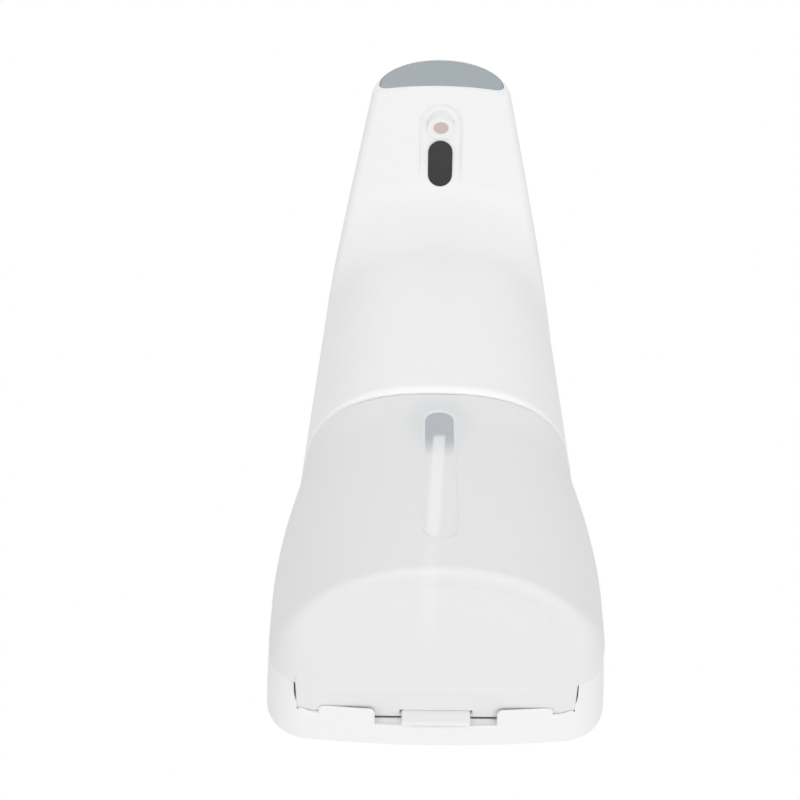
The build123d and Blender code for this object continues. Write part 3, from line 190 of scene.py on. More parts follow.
def gradient(field, points):
    """Slope of a field at points."""
    out = np.empty_like(points)
    for axis in range(3):
        shift = np.zeros(3)
        shift[axis] = SLOPE_STEP
        ahead = field(*(points + shift).T)
        behind = field(*(points - shift).T)
        out[:, axis] = (ahead - behind) / (2.0 * SLOPE_STEP)
    return out


def settle(field, points, rounds=4):
    """Moves points onto the field's zero surface."""
    for _ in range(rounds):
        value = field(*points.T)
        slope = gradient(field, points)
        size = np.maximum((slope**2).sum(1), SLOPE_LEAST)
        move = np.clip(value / size, -MOVE_MOST, MOVE_MOST)
        points = points - slope * move[:, None]
    return points


def surface_net(field, axes):
    """Points and quads of a field's zero surface on a grid with the given lines."""
    grid = np.meshgrid(*axes, indexing="ij")
    value = field(*grid)
    inside = value < 0.0
    cells = tuple(n - 1 for n in inside.shape)
    total = np.zeros(cells + (3,))
    count = np.zeros(cells)
    quads = []
    for axis in range(3):
        low = [slice(None)] * 3
        high = [slice(None)] * 3
        low[axis] = slice(0, -1)
        high[axis] = slice(1, None)
        low, high = tuple(low), tuple(high)
        crossing = inside[low] != inside[high]
        where = np.argwhere(crossing)
        start = value[low][crossing]
        share = start / (start - value[high][crossing])
        spot = np.stack([g[low][crossing] for g in grid], 1)
        run = (grid[axis][high] - grid[axis][low])[crossing]
        spot[:, axis] += share * run
        others = [a for a in range(3) if a != axis]
        for back_a in (0, 1):
            for back_b in (0, 1):
                cell = where.copy()
                cell[:, others[0]] -= back_a
                cell[:, others[1]] -= back_b
                good = ((cell >= 0) & (cell < np.array(cells))).all(1)
                c = cell[good]
                np.add.at(total, tuple(c.T), spot[good])
                np.add.at(count, tuple(c.T), 1.0)
        inner = (
            (where[:, others[0]] > 0)
            & (where[:, others[1]] > 0)
            & (where[:, others[0]] < cells[others[0]])
            & (where[:, others[1]] < cells[others[1]])
        )
        w = where[inner]
        corners = []
        for back_a, back_b in ((1, 1), (0, 1), (0, 0), (1, 0)):
            c = w.copy()
            c[:, others[0]] -= back_a
            c[:, others[1]] -= back_b
            corners.append(np.ravel_multi_index(tuple(c.T), cells))
        quad = np.stack(corners, 1)
        flip = inside[low][tuple(w.T)] != (axis == 1)
        quad[flip] = quad[flip][:, ::-1]
        quads.append(quad)
    active = count.ravel() > 0
    index = np.cumsum(active) - 1
    points = total.reshape(-1, 3)[active] / count.ravel()[active][:, None]
    return points, index[np.concatenate(quads)]


def linked(name, data):
    """New object in the scene for a mesh, light or camera."""
    obj = bpy.data.objects.new(name, data)
    bpy.context.scene.collection.objects.link(obj)
    return obj


def new_mesh(name, points, faces):
    """Mesh object from points in millimetres."""
    mesh = bpy.data.meshes.new(name)
    metres = np.stack(
        [points[:, 0] / 1000.0, -points[:, 1] / 1000.0, (points[:, 2] - SCREW_HEIGHT) / 1000.0], 1
    )
    mesh.vertices.add(len(metres))
    mesh.vertices.foreach_set("co", metres.ravel())
    mesh.loops.add(faces.size)
    mesh.loops.foreach_set("vertex_index", faces.ravel().astype(np.int32))
    mesh.polygons.add(len(faces))
    starts = np.arange(0, faces.size, faces.shape[1], dtype=np.int32)
    mesh.polygons.foreach_set("loop_start", starts)
    mesh.update(calc_edges=True)
    mesh.validate()
    return linked(name, mesh)


def field_piece(name, field, axes):
    """Mesh object of a field's zero surface."""
    points, faces = surface_net(field, axes)
    points = settle(field, points)
    return new_mesh(name, points, faces)


def cut(obj, cutters):
    """Takes the cutters out of a piece."""
    for cutter in cutters:
        change = obj.modifiers.new("cut", "BOOLEAN")
        change.operation = "DIFFERENCE"
        change.solver = "MANIFOLD"
        change.object = cutter
        bpy.context.view_layer.update()
        depsgraph = bpy.context.evaluated_depsgraph_get()
        mesh = bpy.data.meshes.new_from_object(obj.evaluated_get(depsgraph))
        obj.modifiers.clear()
        obj.data = mesh
        bpy.data.objects.remove(cutter)
    return obj


def true_normals(obj, field, limit=0.80):
    """Shades a piece with the field's own normals, except on its cut faces."""
    mesh = obj.data
    co = np.empty(len(mesh.vertices) * 3)
    mesh.vertices.foreach_get("co", co)
    co = co.reshape(-1, 3) * 1000.0
    points = np.stack([co[:, 0], -co[:, 1], co[:, 2] + SCREW_HEIGHT], 1)
    off = np.abs(field(*points.T))
    slope = gradient(field, points)
    slope /= np.maximum(np.linalg.norm(slope, axis=1), 1e-9)[:, None]
    vertex_normal = np.stack([slope[:, 0], -slope[:, 1], slope[:, 2]], 1)
    loops = np.empty(len(mesh.loops), dtype=np.int32)
    mesh.loops.foreach_get("vertex_index", loops)
    sizes = np.empty(len(mesh.polygons), dtype=np.int32)
    mesh.polygons.foreach_get("loop_total", sizes)
    face_normal = np.empty(len(mesh.polygons) * 3)
    mesh.polygons.foreach_get("normal", face_normal)
    face_normal = np.repeat(face_normal.reshape(-1, 3), sizes, axis=0)
    smooth = vertex_normal[loops]
    use = ((smooth * face_normal).sum(1) > limit) & (off[loops] < ON_SURFACE)
    out = np.where(use[:, None], smooth, face_normal)
    mesh.polygons.foreach_set("use_smooth", np.ones(len(mesh.polygons), dtype=bool))
    mesh.normals_split_custom_set(out.tolist())


def lines(low, high, step, fine=()):
    """Grid lines from low to high, closer together in the fine stretches (low, high, step)."""
    out = [low]
    while out[-1] < high:
        here = step
        for a, b, small in fine:
            if a - 0.5 * step <= out[-1] < b:
                here = min(here, small)
        out.append(out[-1] + here)
    return np.array(out)


def from_bmesh(name, bm):
    """Mesh object from a bmesh, which is freed."""
    mesh = bpy.data.meshes.new(name)
    bm.to_mesh(mesh)
    bm.free()
    return linked(name, mesh)


def prism(name, outline, base, direction, length):
    """Closed prism: outline in mm on a plane through base, pushed along direction."""
    bm = bmesh.new()
    near = [bm.verts.new(base + p) for p in outline]
    far = [bm.verts.new(base + p + direction * length) for p in outline]
    bm.faces.new(near[::-1])
    bm.faces.new(far)
    count = len(near)
    for i in range(count):
        bm.faces.new((near[i], near[(i + 1) % count], far[(i + 1) % count], far[i]))
    bmesh.ops.recalc_face_normals(bm, faces=bm.faces)
    return from_bmesh(name, bm)


def turned(x_axis, y_axis, points):
    """Plane points in mm as offsets in metres along two axes."""
    return [(x_axis * a + y_axis * b) / 1000.0 for a, b in points]


def stadium(half_wide, half_long, count=16):
    """Outline of a slot with round ends, long along its second axis."""
    straight = half_long - half_wide
    points = []
    for side in (1, -1):
        for step in range(count + 1):
            angle = math.pi * step / count
            across = side * half_wide * math.cos(angle)
            points.append((across, side * (straight + half_wide * math.sin(angle))))
    return points


def circle(radius, count=48):
    """Outline of a circle."""
    turns = [2.0 * math.pi * i / count for i in range(count)]
    return [(radius * math.cos(turn), radius * math.sin(turn)) for turn in turns]


# ---------------------------------------------------------------- materials
CLOUD_SCALE, CLOUD_DETAIL = 35.0, 3.0
GRAIN_SCALE, GRAIN_DETAIL, GRAIN_DISTANCE = 1500.0, 2.0, 0.0002


def node_material(name, colour, roughness, vary=0.0, grain=0.0, **sockets):
    """Procedural plastic, rubber or metal: cloudy roughness and a fine surface grain."""
    material = bpy.data.materials.new(name)
    material.use_nodes = True
    tree = material.node_tree
    shader = tree.nodes["Principled BSDF"]
    shader.inputs["Base Color"].default_value = (*colour, 1.0)
    shader.inputs["Roughness"].default_value = roughness
    for key, value in sockets.items():
        shader.inputs[key.replace("_", " ")].default_value = value
    place_in = tree.nodes.new("ShaderNodeTexCoord")
    if vary:
        cloud = tree.nodes.new("ShaderNodeTexNoise")
        cloud.inputs["Scale"].default_value = CLOUD_SCALE
        cloud.inputs["Detail"].default_value = CLOUD_DETAIL
        tree.links.new(place_in.outputs["Object"], cloud.inputs["Vector"])
        tint = tree.nodes.new("ShaderNodeMapRange")
        tint.inputs["To Min"].default_value = roughness - vary
        tint.inputs["To Max"].default_value = roughness + vary
        tree.links.new(cloud.outputs["Fac"], tint.inputs["Value"])
        tree.links.new(tint.outputs["Result"], shader.inputs["Roughness"])
    if grain:
        fine = tree.nodes.new("ShaderNodeTexNoise")
        fine.inputs["Scale"].default_value = GRAIN_SCALE
        fine.inputs["Detail"].default_value = GRAIN_DETAIL
        tree.links.new(place_in.outputs["Object"], fine.inputs["Vector"])
        bump = tree.nodes.new("ShaderNodeBump")
        bump.inputs["Strength"].default_value = grain
        bump.inputs["Distance"].default_value = GRAIN_DISTANCE
        tree.links.new(fine.outputs["Fac"], bump.inputs["Height"])
        tree.links.new(bump.outputs["Normal"], shader.inputs["Normal"])
    return material


WHITE_COLOUR = (0.915, 0.915, 0.92)
WHITE = node_material("white_abs", WHITE_COLOUR, 0.42, 0.04, 0.05)
COVER = node_material("white_abs_cover", WHITE_COLOUR, 0.42, 0.04, 0.05)
GREY = node_material("grey_panel", (0.375, 0.425, 0.455), 0.38, 0.04, 0.05)
BLACK = node_material("black_window", (0.018, 0.018, 0.019), 0.22, 0.03)
BEIGE = node_material("beige_silicone", (0.66, 0.53, 0.49), 0.6, 0.04, 0.1)
CAP = node_material("blue_grey_cap", (0.30, 0.36, 0.41), 0.5, 0.05, 0.1)
TUBE = node_material("tube", (0.88, 0.90, 0.90), 0.35, 0.04, 0.02)
HOSE = node_material("hose", (0.80, 0.80, 0.76), 0.45, 0.05, 0.05)
SEAL = node_material("seal", (0.03, 0.03, 0.032), 0.7, 0.05, 0.2)
PUMP = node_material("pump_body", (0.06, 0.06, 0.065), 0.5, 0.05, 0.15)
GEAR = node_material("gear", (0.78, 0.76, 0.68), 0.5, 0.05, 0.05)
STEEL = node_material("steel", (0.62, 0.63, 0.65), 0.3, 0.08, 0.05, Metallic=1.0)
MOTOR = node_material("motor_can", (0.55, 0.56, 0.58), 0.35, 0.08, 0.1, Metallic=1.0)
BOARD = node_material("board", (0.02, 0.17, 0.07), 0.4, 0.05, 0.1)
CHIP = node_material("chip", (0.02, 0.02, 0.022), 0.5, 0.05, 0.2)
CELL = node_material("cell_sleeve", (0.08, 0.08, 0.09), 0.3, 0.05, 0.02)
INNER = node_material("inner_plastic", (0.16, 0.16, 0.17), 0.5, 0.05, 0.15)
BUTTON = node_material("button", (0.27, 0.30, 0.32), 0.6, 0.05, 0.1)
PLATE = node_material("plate", (0.74, 0.74, 0.73), 0.5, 0.05, 0.1)


def frosted(name, colour, roughness, through, ior):
    """Translucent moulded plastic: light goes through and is blurred on the way."""
    material = node_material(name, colour, roughness, 0.03, 0.0)
    shader = material.node_tree.nodes["Principled BSDF"]
    shader.inputs["Transmission Weight"].default_value = through
    shader.inputs["IOR"].default_value = ior
    return material


def work_out(tree, operation, first, second=0.0):
    """One arithmetic node; each input is a number or another node's output."""
    node = tree.nodes.new("ShaderNodeMath")
    node.operation = operation
    for socket, value in zip(node.inputs, (first, second)):
        if isinstance(value, float):
            socket.default_value = value
        else:
            tree.links.new(value, socket)
    return node.outputs["Value"]


def fade(tree, value, low, high):
    """Rises smoothly from 0 to 1 as the value goes from low to high."""
    node = tree.nodes.new("ShaderNodeMapRange")
    node.interpolation_type = "SMOOTHSTEP"
    node.inputs["From Min"].default_value = low
    node.inputs["From Max"].default_value = high
    tree.links.new(value, node.inputs["Value"])
    return node.outputs["Result"]


def invert(tree, value):
    """One minus the value."""
    return work_out(tree, "SUBTRACT", 1.0, value)


def product(tree, first, *others):
    """The first value times each of the others in turn."""
    for other in others:
        first = work_out(tree, "MULTIPLY", first, other)
    return first


def length_of(tree, first, second):
    """Square root of the sum of two squares."""
    total = work_out(tree, "ADD", product(tree, first, first), product(tree, second, second))
    return work_out(tree, "SQRT", total)


def place_on_piece(tree):
    """Outputs that give x, depth and height in mm on a piece whose origin is the frame's."""
    split = tree.nodes.new("ShaderNodeSeparateXYZ")
    coordinates = next(n for n in tree.nodes if n.bl_idname == "ShaderNodeTexCoord")
    tree.links.new(coordinates.outputs["Object"], split.inputs["Vector"])
    x = product(tree, split.outputs["X"], 1000.0)
    depth = product(tree, split.outputs["Y"], -1000.0)
    height = product(tree, split.outputs["Z"], 1000.0)
    return x, depth, work_out(tree, "ADD", height, SCREW_HEIGHT)


def blend_colour(tree, share, plain, changed):
    """Drives the base colour from one colour to another."""
    ramp = tree.nodes.new("ShaderNodeValToRGB")
    ramp.color_ramp.elements[0].color = (*plain, 1.0)
    ramp.color_ramp.elements[1].color = (*changed, 1.0)
    tree.links.new(share, ramp.inputs["Fac"])
    tree.links.new(ramp.outputs["Color"], tree.nodes["Principled BSDF"].inputs["Base Color"])


FROST_COLOUR, FROST_THROUGH = (0.985, 0.987, 0.988), 0.15
FROST = frosted("frosted_tank", FROST_COLOUR, 0.42, FROST_THROUGH, 1.12)
INSIDE = frosted("tank_inside", (0.98, 0.985, 0.99), 0.22, 0.95, 1.04)

SLOT_MATERIALS = {
    "white_shell": WHITE, "grey_panel": GREY, "clear_tank": FROST, "black_window": BLACK,
    "beige_silicone": BEIGE, "blue_cap": CAP, "clear_tube": TUBE, "hose": HOSE, "seal": SEAL,
    "pump_body": PUMP, "gear": GEAR, "steel": STEEL, "motor": MOTOR, "board": BOARD,
    "chip": CHIP, "battery": CELL, "inner_plastic": INNER, "button": BUTTON, "plate": PLATE,
}
for part in frame["record"]["subparts"]:
    node = nodes[part["node"]]
    node.data.materials.clear()
    node.data.materials.append(SLOT_MATERIALS[part["material_slot"]])
    for face in node.data.polygons:
        face.material_index = 0


def dress(obj, material, body, slot, *replaced):
    """Gives a new piece its material and body, and hides the CAD nodes it stands for; slot is not
    used.
    """
    obj.data.materials.clear()
    obj.data.materials.append(material)
    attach(obj, body)
    if replaced:
        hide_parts(*replaced)


# ---------------------------------------------------------------- front cover
WINDOW_LONG, WINDOW_WIDE, WINDOW_CLEAR = 17.2, 8.8, 0.1
RING_RADIUS, RING_CLEAR = 4.9, 0.05
RING_CUT_FROM, TOP_CUT_FROM = 192.0, 222.0
WINDOW_CUT_LONG, RING_CUT_LONG, TOP_CUT_LONG = 0.01, 0.018, 0.03  # metres
LID_HALF, LID_BACK, LID_FRONT, LID_CORNER, LID_STEPS = 19.0, 26.5, 66.0, 5.0, 8
KNUCKLE, HINGE_SINK = 5.8, 4.4
HINGE_DEPTH = LID_BACK + KNUCKLE
HINGE_HEIGHT = crown(HINGE_DEPTH) - HINGE_SINK
BUTTON_DEPTH, BUTTON_RADIUS = 80.0, 4.5
FASCIA_HALF, FASCIA_LOW, FASCIA_HIGH = 22.6, 209.4, 225.2
FASCIA_SHOULDER, FASCIA_CORNER, FASCIA_POWER = 2.6, 3.4, 2.1
FASCIA_BED, FASCIA_CLEAR, FASCIA_CUT_FRONT = 1.6, 0.15, -6.0
PANEL_BACK, PANEL_FRONT = FASCIA_BED - 0.1, 0.05
PANEL_BEVEL, BEVEL_FIRST = 0.45, 0.3
BEVEL_FADE_ACROSS, BEVEL_FADE_UP = 4.0, 3.0
PANEL_SHARP, WELD = 35.0, 1e-7
LIP_ROUND = 2.0
# Painted highlight on the cover's lip: a brighter base colour in a band up to these heights above
# the lip.
LIP_HIGHLIGHT_LOW, LIP_HIGHLIGHT_HIGH, LIP_HIGHLIGHT_COLOUR = 2.2, 3.4, (0.995, 0.995, 0.995)
SEAM_ROUND = 0.5
ACROSS, FORWARD, UP = Vector((1, 0, 0)), Vector((0, -1, 0)), Vector((0, 0, 1))
OUT_OF_HEAD = Vector((0, -math.sin(UNDERSIDE_SLOPE), -math.cos(UNDERSIDE_SLOPE)))
ALONG_HEAD = Vector((0, -math.cos(UNDERSIDE_SLOPE), math.sin(UNDERSIDE_SLOPE)))


# Grid lines in x, depth and height, closer at the lip, the side seams, the channel and the tip.
COVER_GRID = (
    lines(
        -49.37, 49.4, 1.15,
        ((-38.0, -31.0, 0.5), (-9.6, -6.2, 0.45), (6.2, 9.6, 0.45), (31.0, 38.0, 0.5)),
    ),
    lines(23.4, 109.2, 1.15, ((23.4, 25.6, 0.4), (98.5, 103.5, 0.5), (103.5, 109.2, 0.6))),
    lines(96.52, 240.7, 1.15, ((96.52, 100.4, 0.35),)),
)


def cover_field(x, depth, height):
    """The cover: the outer form as a shell, open behind and below, with a rounded lip and seam."""
    outside = upper_form(x, depth, height)
    lip = both(outside, LIP_HEIGHT - height, LIP_ROUND)
    seam = both(lip, SPLIT_DEPTH + GAP - depth, SEAM_ROUND)
    return np.maximum(seam, -(outside + SHELL))


def fascia_rows(margin, columns=56, rows=10):
    """Grid of points over the end panel, in x and height: a low arch with round lower corners."""
    half = FASCIA_HALF + margin
    arch_high = FASCIA_HIGH + margin - FASCIA_LOW - FASCIA_SHOULDER
    grid = []
    for column in range(columns + 1):
        across = half * math.cos(math.pi * column / columns)
        side = abs(across) / half
        arch = (1.0 - side**FASCIA_POWER) ** (1.0 / FASCIA_POWER)
        top = FASCIA_LOW + FASCIA_SHOULDER + arch_high * arch
        corner = max(0.0, (side * half - half + FASCIA_CORNER) / FASCIA_CORNER)
        lift = 1.0 - math.sqrt(max(0.0, 1.0 - corner**2))
        foot = FASCIA_LOW - margin + FASCIA_SHOULDER * lift
        grid.append([(across, foot + (top - foot) * row / rows) for row in range(rows + 1)])
    return grid


def end_face(x, inset):
    """Depth of the bowed end face, moved in by inset."""
    return TIP_DEPTH - TIP_PLAN_RADIUS + math.sqrt(TIP_PLAN_RADIUS**2 - x * x) - inset


def bowed_prism(bm, grid, back, front, bevel=0.0):
    """Closed solid over a grid of x and height, between two insets from the bowed end face."""
    middle = (FASCIA_LOW + FASCIA_HIGH) / 2.0

    def layer(inset, shrink):
        out = []
        for column in grid:
            line = []
            for x, height in column:
                inward = math.copysign(min(1.0, abs(x) / BEVEL_FADE_ACROSS), x)
                upward = max(-1.0, min(1.0, (middle - height) / BEVEL_FADE_UP))
                sx, sh = x - shrink * inward, height + shrink * upward
                line.append(bm.verts.new(place(sx, end_face(sx, inset), sh)))
            out.append(line)
        return out

    def rim(verts):
        columns, rows = len(verts), len(verts[0])
        loop = [verts[c][0] for c in range(columns)]
        loop += [verts[columns - 1][r] for r in range(1, rows)]
        loop += [verts[c][rows - 1] for c in range(columns - 2, -1, -1)]
        loop += [verts[0][r] for r in range(rows - 2, 0, -1)]
        return loop

    def sheet(verts):
        for a, b in zip(verts, verts[1:]):
            for r in range(len(a) - 1):
                bm.faces.new((a[r], a[r + 1], b[r + 1], b[r]))

    layers = [layer(back, 0.0)]
    if bevel:
        layers.append(layer(front + bevel, 0.0))
        layers.append(layer(front + bevel * BEVEL_FIRST, bevel * BEVEL_FIRST))
    layers.append(layer(front, bevel))
    sheet(layers[0])
    sheet(layers[-1])
    for near, far in zip(layers, layers[1:]):
        a, b = rim(near), rim(far)
        for i in range(len(a)):
            j = (i + 1) % len(a)
            bm.faces.new((a[i], a[j], b[j], b[i]))
    for inner in layers[1:-1]:
        edge = set(rim(inner))
        spare = [v for line in inner for v in line if v not in edge]
        bmesh.ops.delete(bm, geom=spare, context="VERTS")
    bmesh.ops.remove_doubles(bm, verts=bm.verts, dist=WELD)
    bmesh.ops.recalc_face_normals(bm, faces=bm.faces)


def soften(obj, degrees):
    """Smooth shading except across edges sharper than the angle."""
    for face in obj.data.polygons:
        face.use_smooth = True
    obj.data.set_sharp_from_angle(angle=math.radians(degrees))


def lid_outline():
    """Outline, as x and depth, of the lid's opening forward of its hinge."""
    points = [(LID_HALF, HINGE_DEPTH), (-LID_HALF, HINGE_DEPTH)]
    for side, first in ((-1.0, 180.0), (1.0, 90.0)):
        for step in range(LID_STEPS + 1):
            angle = math.radians(first - 90.0 * step / LID_STEPS)
            across = side * (LID_HALF - LID_CORNER) + LID_CORNER * math.cos(angle)
            points.append((across, LID_FRONT - LID_CORNER + LID_CORNER * math.sin(angle)))
    return points


def paint_lip_highlight(material):
    """Paints a highlight on the lip's rounded edge: a band just above the lip gets a brighter base
    colour than the rest of the cover.
    """
    tree = material.node_tree
    height = place_on_piece(tree)[2]
    beyond_highlight = fade(tree, height, LIP_HEIGHT + LIP_HIGHLIGHT_LOW, LIP_HEIGHT + LIP_HIGHLIGHT_HIGH)
    blend_colour(tree, invert(tree, beyond_highlight), WHITE_COLOUR, LIP_HIGHLIGHT_COLOUR)


# The cover's lip gets a painted highlight, a brighter base colour along its rounded edge.
paint_lip_highlight(COVER)
cover = field_piece("cover_shell", cover_field, COVER_GRID)
window_slot = stadium(WINDOW_WIDE / 2 + WINDOW_CLEAR, WINDOW_LONG / 2 + WINDOW_CLEAR)
window_middle = place(0.0, WINDOW_DEPTH, underside(WINDOW_DEPTH))
cutters = [
    prism(
        "window_cutter", turned(ACROSS, ALONG_HEAD, window_slot),
        window_middle - OUT_OF_HEAD * (WINDOW_CUT_LONG / 2), OUT_OF_HEAD, WINDOW_CUT_LONG,
    ),
    prism(
        "ring_cutter", turned(ACROSS, ALONG_HEAD * -1, circle(RING_RADIUS + RING_CLEAR)),
        place(0, NOZZLE_DEPTH, RING_CUT_FROM), UP, RING_CUT_LONG,
    ),
    prism(
        "lid_cutter", turned(ACROSS, FORWARD, lid_outline()),
        place(0, 0, TOP_CUT_FROM), UP, TOP_CUT_LONG,
    ),
    prism(
        "hinge_cutter", turned(FORWARD, UP, circle(KNUCKLE + GAP)),
        place(-LID_HALF, HINGE_DEPTH, HINGE_HEIGHT), ACROSS, 2.0 * LID_HALF / 1000.0,
    ),
    prism(
        "button_cutter", turned(ACROSS, FORWARD, circle(BUTTON_RADIUS + GAP)),
        place(0, BUTTON_DEPTH, TOP_CUT_FROM), UP, TOP_CUT_LONG,
    ),
]
bm = bmesh.new()
bowed_prism(bm, fascia_rows(FASCIA_CLEAR), FASCIA_BED, FASCIA_CUT_FRONT)
cutters.append(from_bmesh("panel_cutter", bm))
cut(cover, cutters)
true_normals(cover, cover_field)
dress(cover, COVER, "unit", "white_shell", "front_cover")

# ---------------------------------------------------------------- end panel
bm = bmesh.new()
bowed_prism(bm, fascia_rows(0.0), PANEL_BACK, PANEL_FRONT, PANEL_BEVEL)
fascia = from_bmesh("end_panel", bm)
soften(fascia, PANEL_SHARP)
dress(fascia, GREY, "unit", "grey_panel", "fascia_panel")

# ---------------------------------------------------------------- tank
TANK_DECK = 91.8
TANK_POWER, TANK_SQUARER = 2.1, 0.3
SQUARER_FROM, SQUARER_OVER = 82.0, 14.0
TANK_SIDE_INSET, INSET_FROM, INSET_OVER = 1.4, 60.0, 37.0
HEEL_LEAST, HEEL_MORE, HEEL_FROM, HEEL_OVER = 2.6, 11.0, 68.0, 38.0
SEAM_EDGE, TOP_EDGE = 0.6, 0.5
REAR_CORNER, REAR_EDGE, REAR_REACH = 5.0, 0.7, 4.0
FILLER_RADIUS, FILLER_MIDDLE, FILLER_REACH = 11.5, 90.0, 3.0
RELIEF_HALF, RELIEF_FRONT = 13.0, 13.6
# The latch holds the tank in a pocket, let up into a solid block at the foot of the back wall.
BLOCK_HALF, BLOCK_FRONT, BLOCK_TOP = 14.0, 14.2, 13.0
POCKET_HALF, POCKET_TOP, POCKET_DEPTH, POCKET_REACH = 11.6, 10.6, 10.1, 1.3
FOOT_HALF, FOOT_CENTRE, FOOT_RADIUS, FOOT_BACK = 37.0, 21.5, 56.0, 20.5
FOOT_CORNER, FOOT_BACK_CORNER = 10.0, 4.0
FOOT_SINK, FOOT_EDGE = 0.35, 3.2
GAUGE_HALF, GAUGE_LOW, GAUGE_HIGH = 5.6, 20.5, 87.5
GAUGE_SINK, GAUGE_EDGE, GAUGE_BACK = 0.45, 0.7, 40.0
GAUGE_THROUGH = 0.38
RIM_WIDE, RIM_SOFT = 0.75, 0.3
# The cap's shade is an oval that fades between two shares of its half sizes.
SHADE_HALF_WIDE, SHADE_HALF_HIGH, SHADE_HEIGHT = 12.5, 17.0, 80.0
SHADE_CORE, SHADE_EDGE, SHADE_THROUGH_WALL = 0.45, 1.15, 0.38
CAP_SEEN = (0.80, 0.83, 0.875)
TUBE_TOP, TUBE_LEAN, TUBE_HALF, TUBE_SOFT, TUBE_END = 73.5, 0.045, 1.9, 0.6, 1.5
TUBE_IN_WINDOW, TUBE_IN_WALL = 0.4, 0.12
# Grid lines in x, depth and height, closer at the level window, the seam, the foot and the rim.
TANK_GRID = (
    lines(-54.5, 54.5, 1.2, ((-6.4, -4.2, 0.35), (4.2, 6.4, 0.35))),
    lines(6.8, 83.8, 1.2, ((6.8, 11.0, 0.6), (23.4, 26.5, 0.45), (76.0, 83.8, 0.7))),
    lines(
        5.2, 97.6, 1.2,
        (
            (5.2, 12.0, 0.4), (19.8, 22.0, 0.4), (86.0, 88.0, 0.4), (88.8, 92.6, 0.45),
            (94.8, 97.6, 0.5),
        ),
    ),
)


def foot_sink(x, depth):
    """Depth of the shallow recess under the tank."""
    arc = np.hypot(x, depth - FOOT_CENTRE) - FOOT_RADIUS
    away = both(np.abs(x) - FOOT_HALF, arc, FOOT_CORNER)
    away = both(away, FOOT_BACK - depth, FOOT_BACK_CORNER)
    return FOOT_SINK * ease(-away / FOOT_EDGE)


def gauge_sink(x, height):
    """Depth of the level window, a long slot let into the tank's front."""
    along = np.clip(height, GAUGE_LOW + GAUGE_HALF, GAUGE_HIGH - GAUGE_HALF)
    away = np.hypot(x, height - along) - GAUGE_HALF
    return GAUGE_SINK * ease(-away / GAUGE_EDGE)


def tank_outside(x, depth, height):
    """Outside of the tank, open upwards."""
    side = np.abs(x)
    half = base_half(height) * float(plan_taper(SPLIT_DEPTH))
    half = half - TANK_SIDE_INSET * ease((height - INSET_FROM) / INSET_OVER)
    share = (TANK_TOP - height) / (TANK_TOP - TANK_BOTTOM)
    front = TANK_FRONT_TOP + (TANK_FRONT_BOTTOM - TANK_FRONT_TOP) * share
    seam = SPLIT_DEPTH + GAP
    power = TANK_POWER + TANK_SQUARER * ease((height - SQUARER_FROM) / SQUARER_OVER)
    plan = oval(side, half, np.maximum(depth - seam, 0.0), front - seam, power)
    plan = plan + gauge_sink(x, height) * (depth > GAUGE_BACK)
    bottom = TANK_BOTTOM + foot_sink(x, depth) - height
    heel = HEEL_LEAST + HEEL_MORE * ease((HEEL_FROM - depth) / HEEL_OVER)
    shell = both(both(plan, bottom, heel), seam - depth, SEAM_EDGE)
    rear = both(side - TANK_REAR_HALF, TANK_BACK - depth, REAR_CORNER)
    rear = np.maximum(both(rear, bottom, REAR_EDGE), depth - SPLIT_DEPTH - REAR_REACH)
    return np.minimum(shell, rear)


def tank_field(x, depth, height):
    """The tank: a room below the deck, a tray above it, the filler hole and the latch's pocket."""
    side = np.abs(x)
    outside = tank_outside(x, depth, height)
    wall = outside + TANK_WALL
    room = np.maximum(wall, height - TANK_DECK + TANK_WALL)
    tray = np.maximum(wall, TANK_DECK - height)
    bore = np.hypot(x, depth - CAP_DEPTH) - FILLER_RADIUS
    filler = np.maximum(bore, np.abs(height - FILLER_MIDDLE) - FILLER_REACH)
    relief = np.maximum(np.maximum(side - RELIEF_HALF, depth - RELIEF_FRONT), TANK_DECK - height)
    block = np.maximum(np.maximum(side - BLOCK_HALF, depth - BLOCK_FRONT), height - BLOCK_TOP)
    pocket = np.maximum(np.abs(depth - POCKET_DEPTH) - POCKET_REACH, height - POCKET_TOP)
    pocket = np.maximum(side - POCKET_HALF, pocket)
    solid = both(outside, height - TANK_TOP, TOP_EDGE)
    for hollow in (np.maximum(room, -block), tray, filler, relief, pocket):
        solid = np.maximum(solid, -hollow)
    return solid


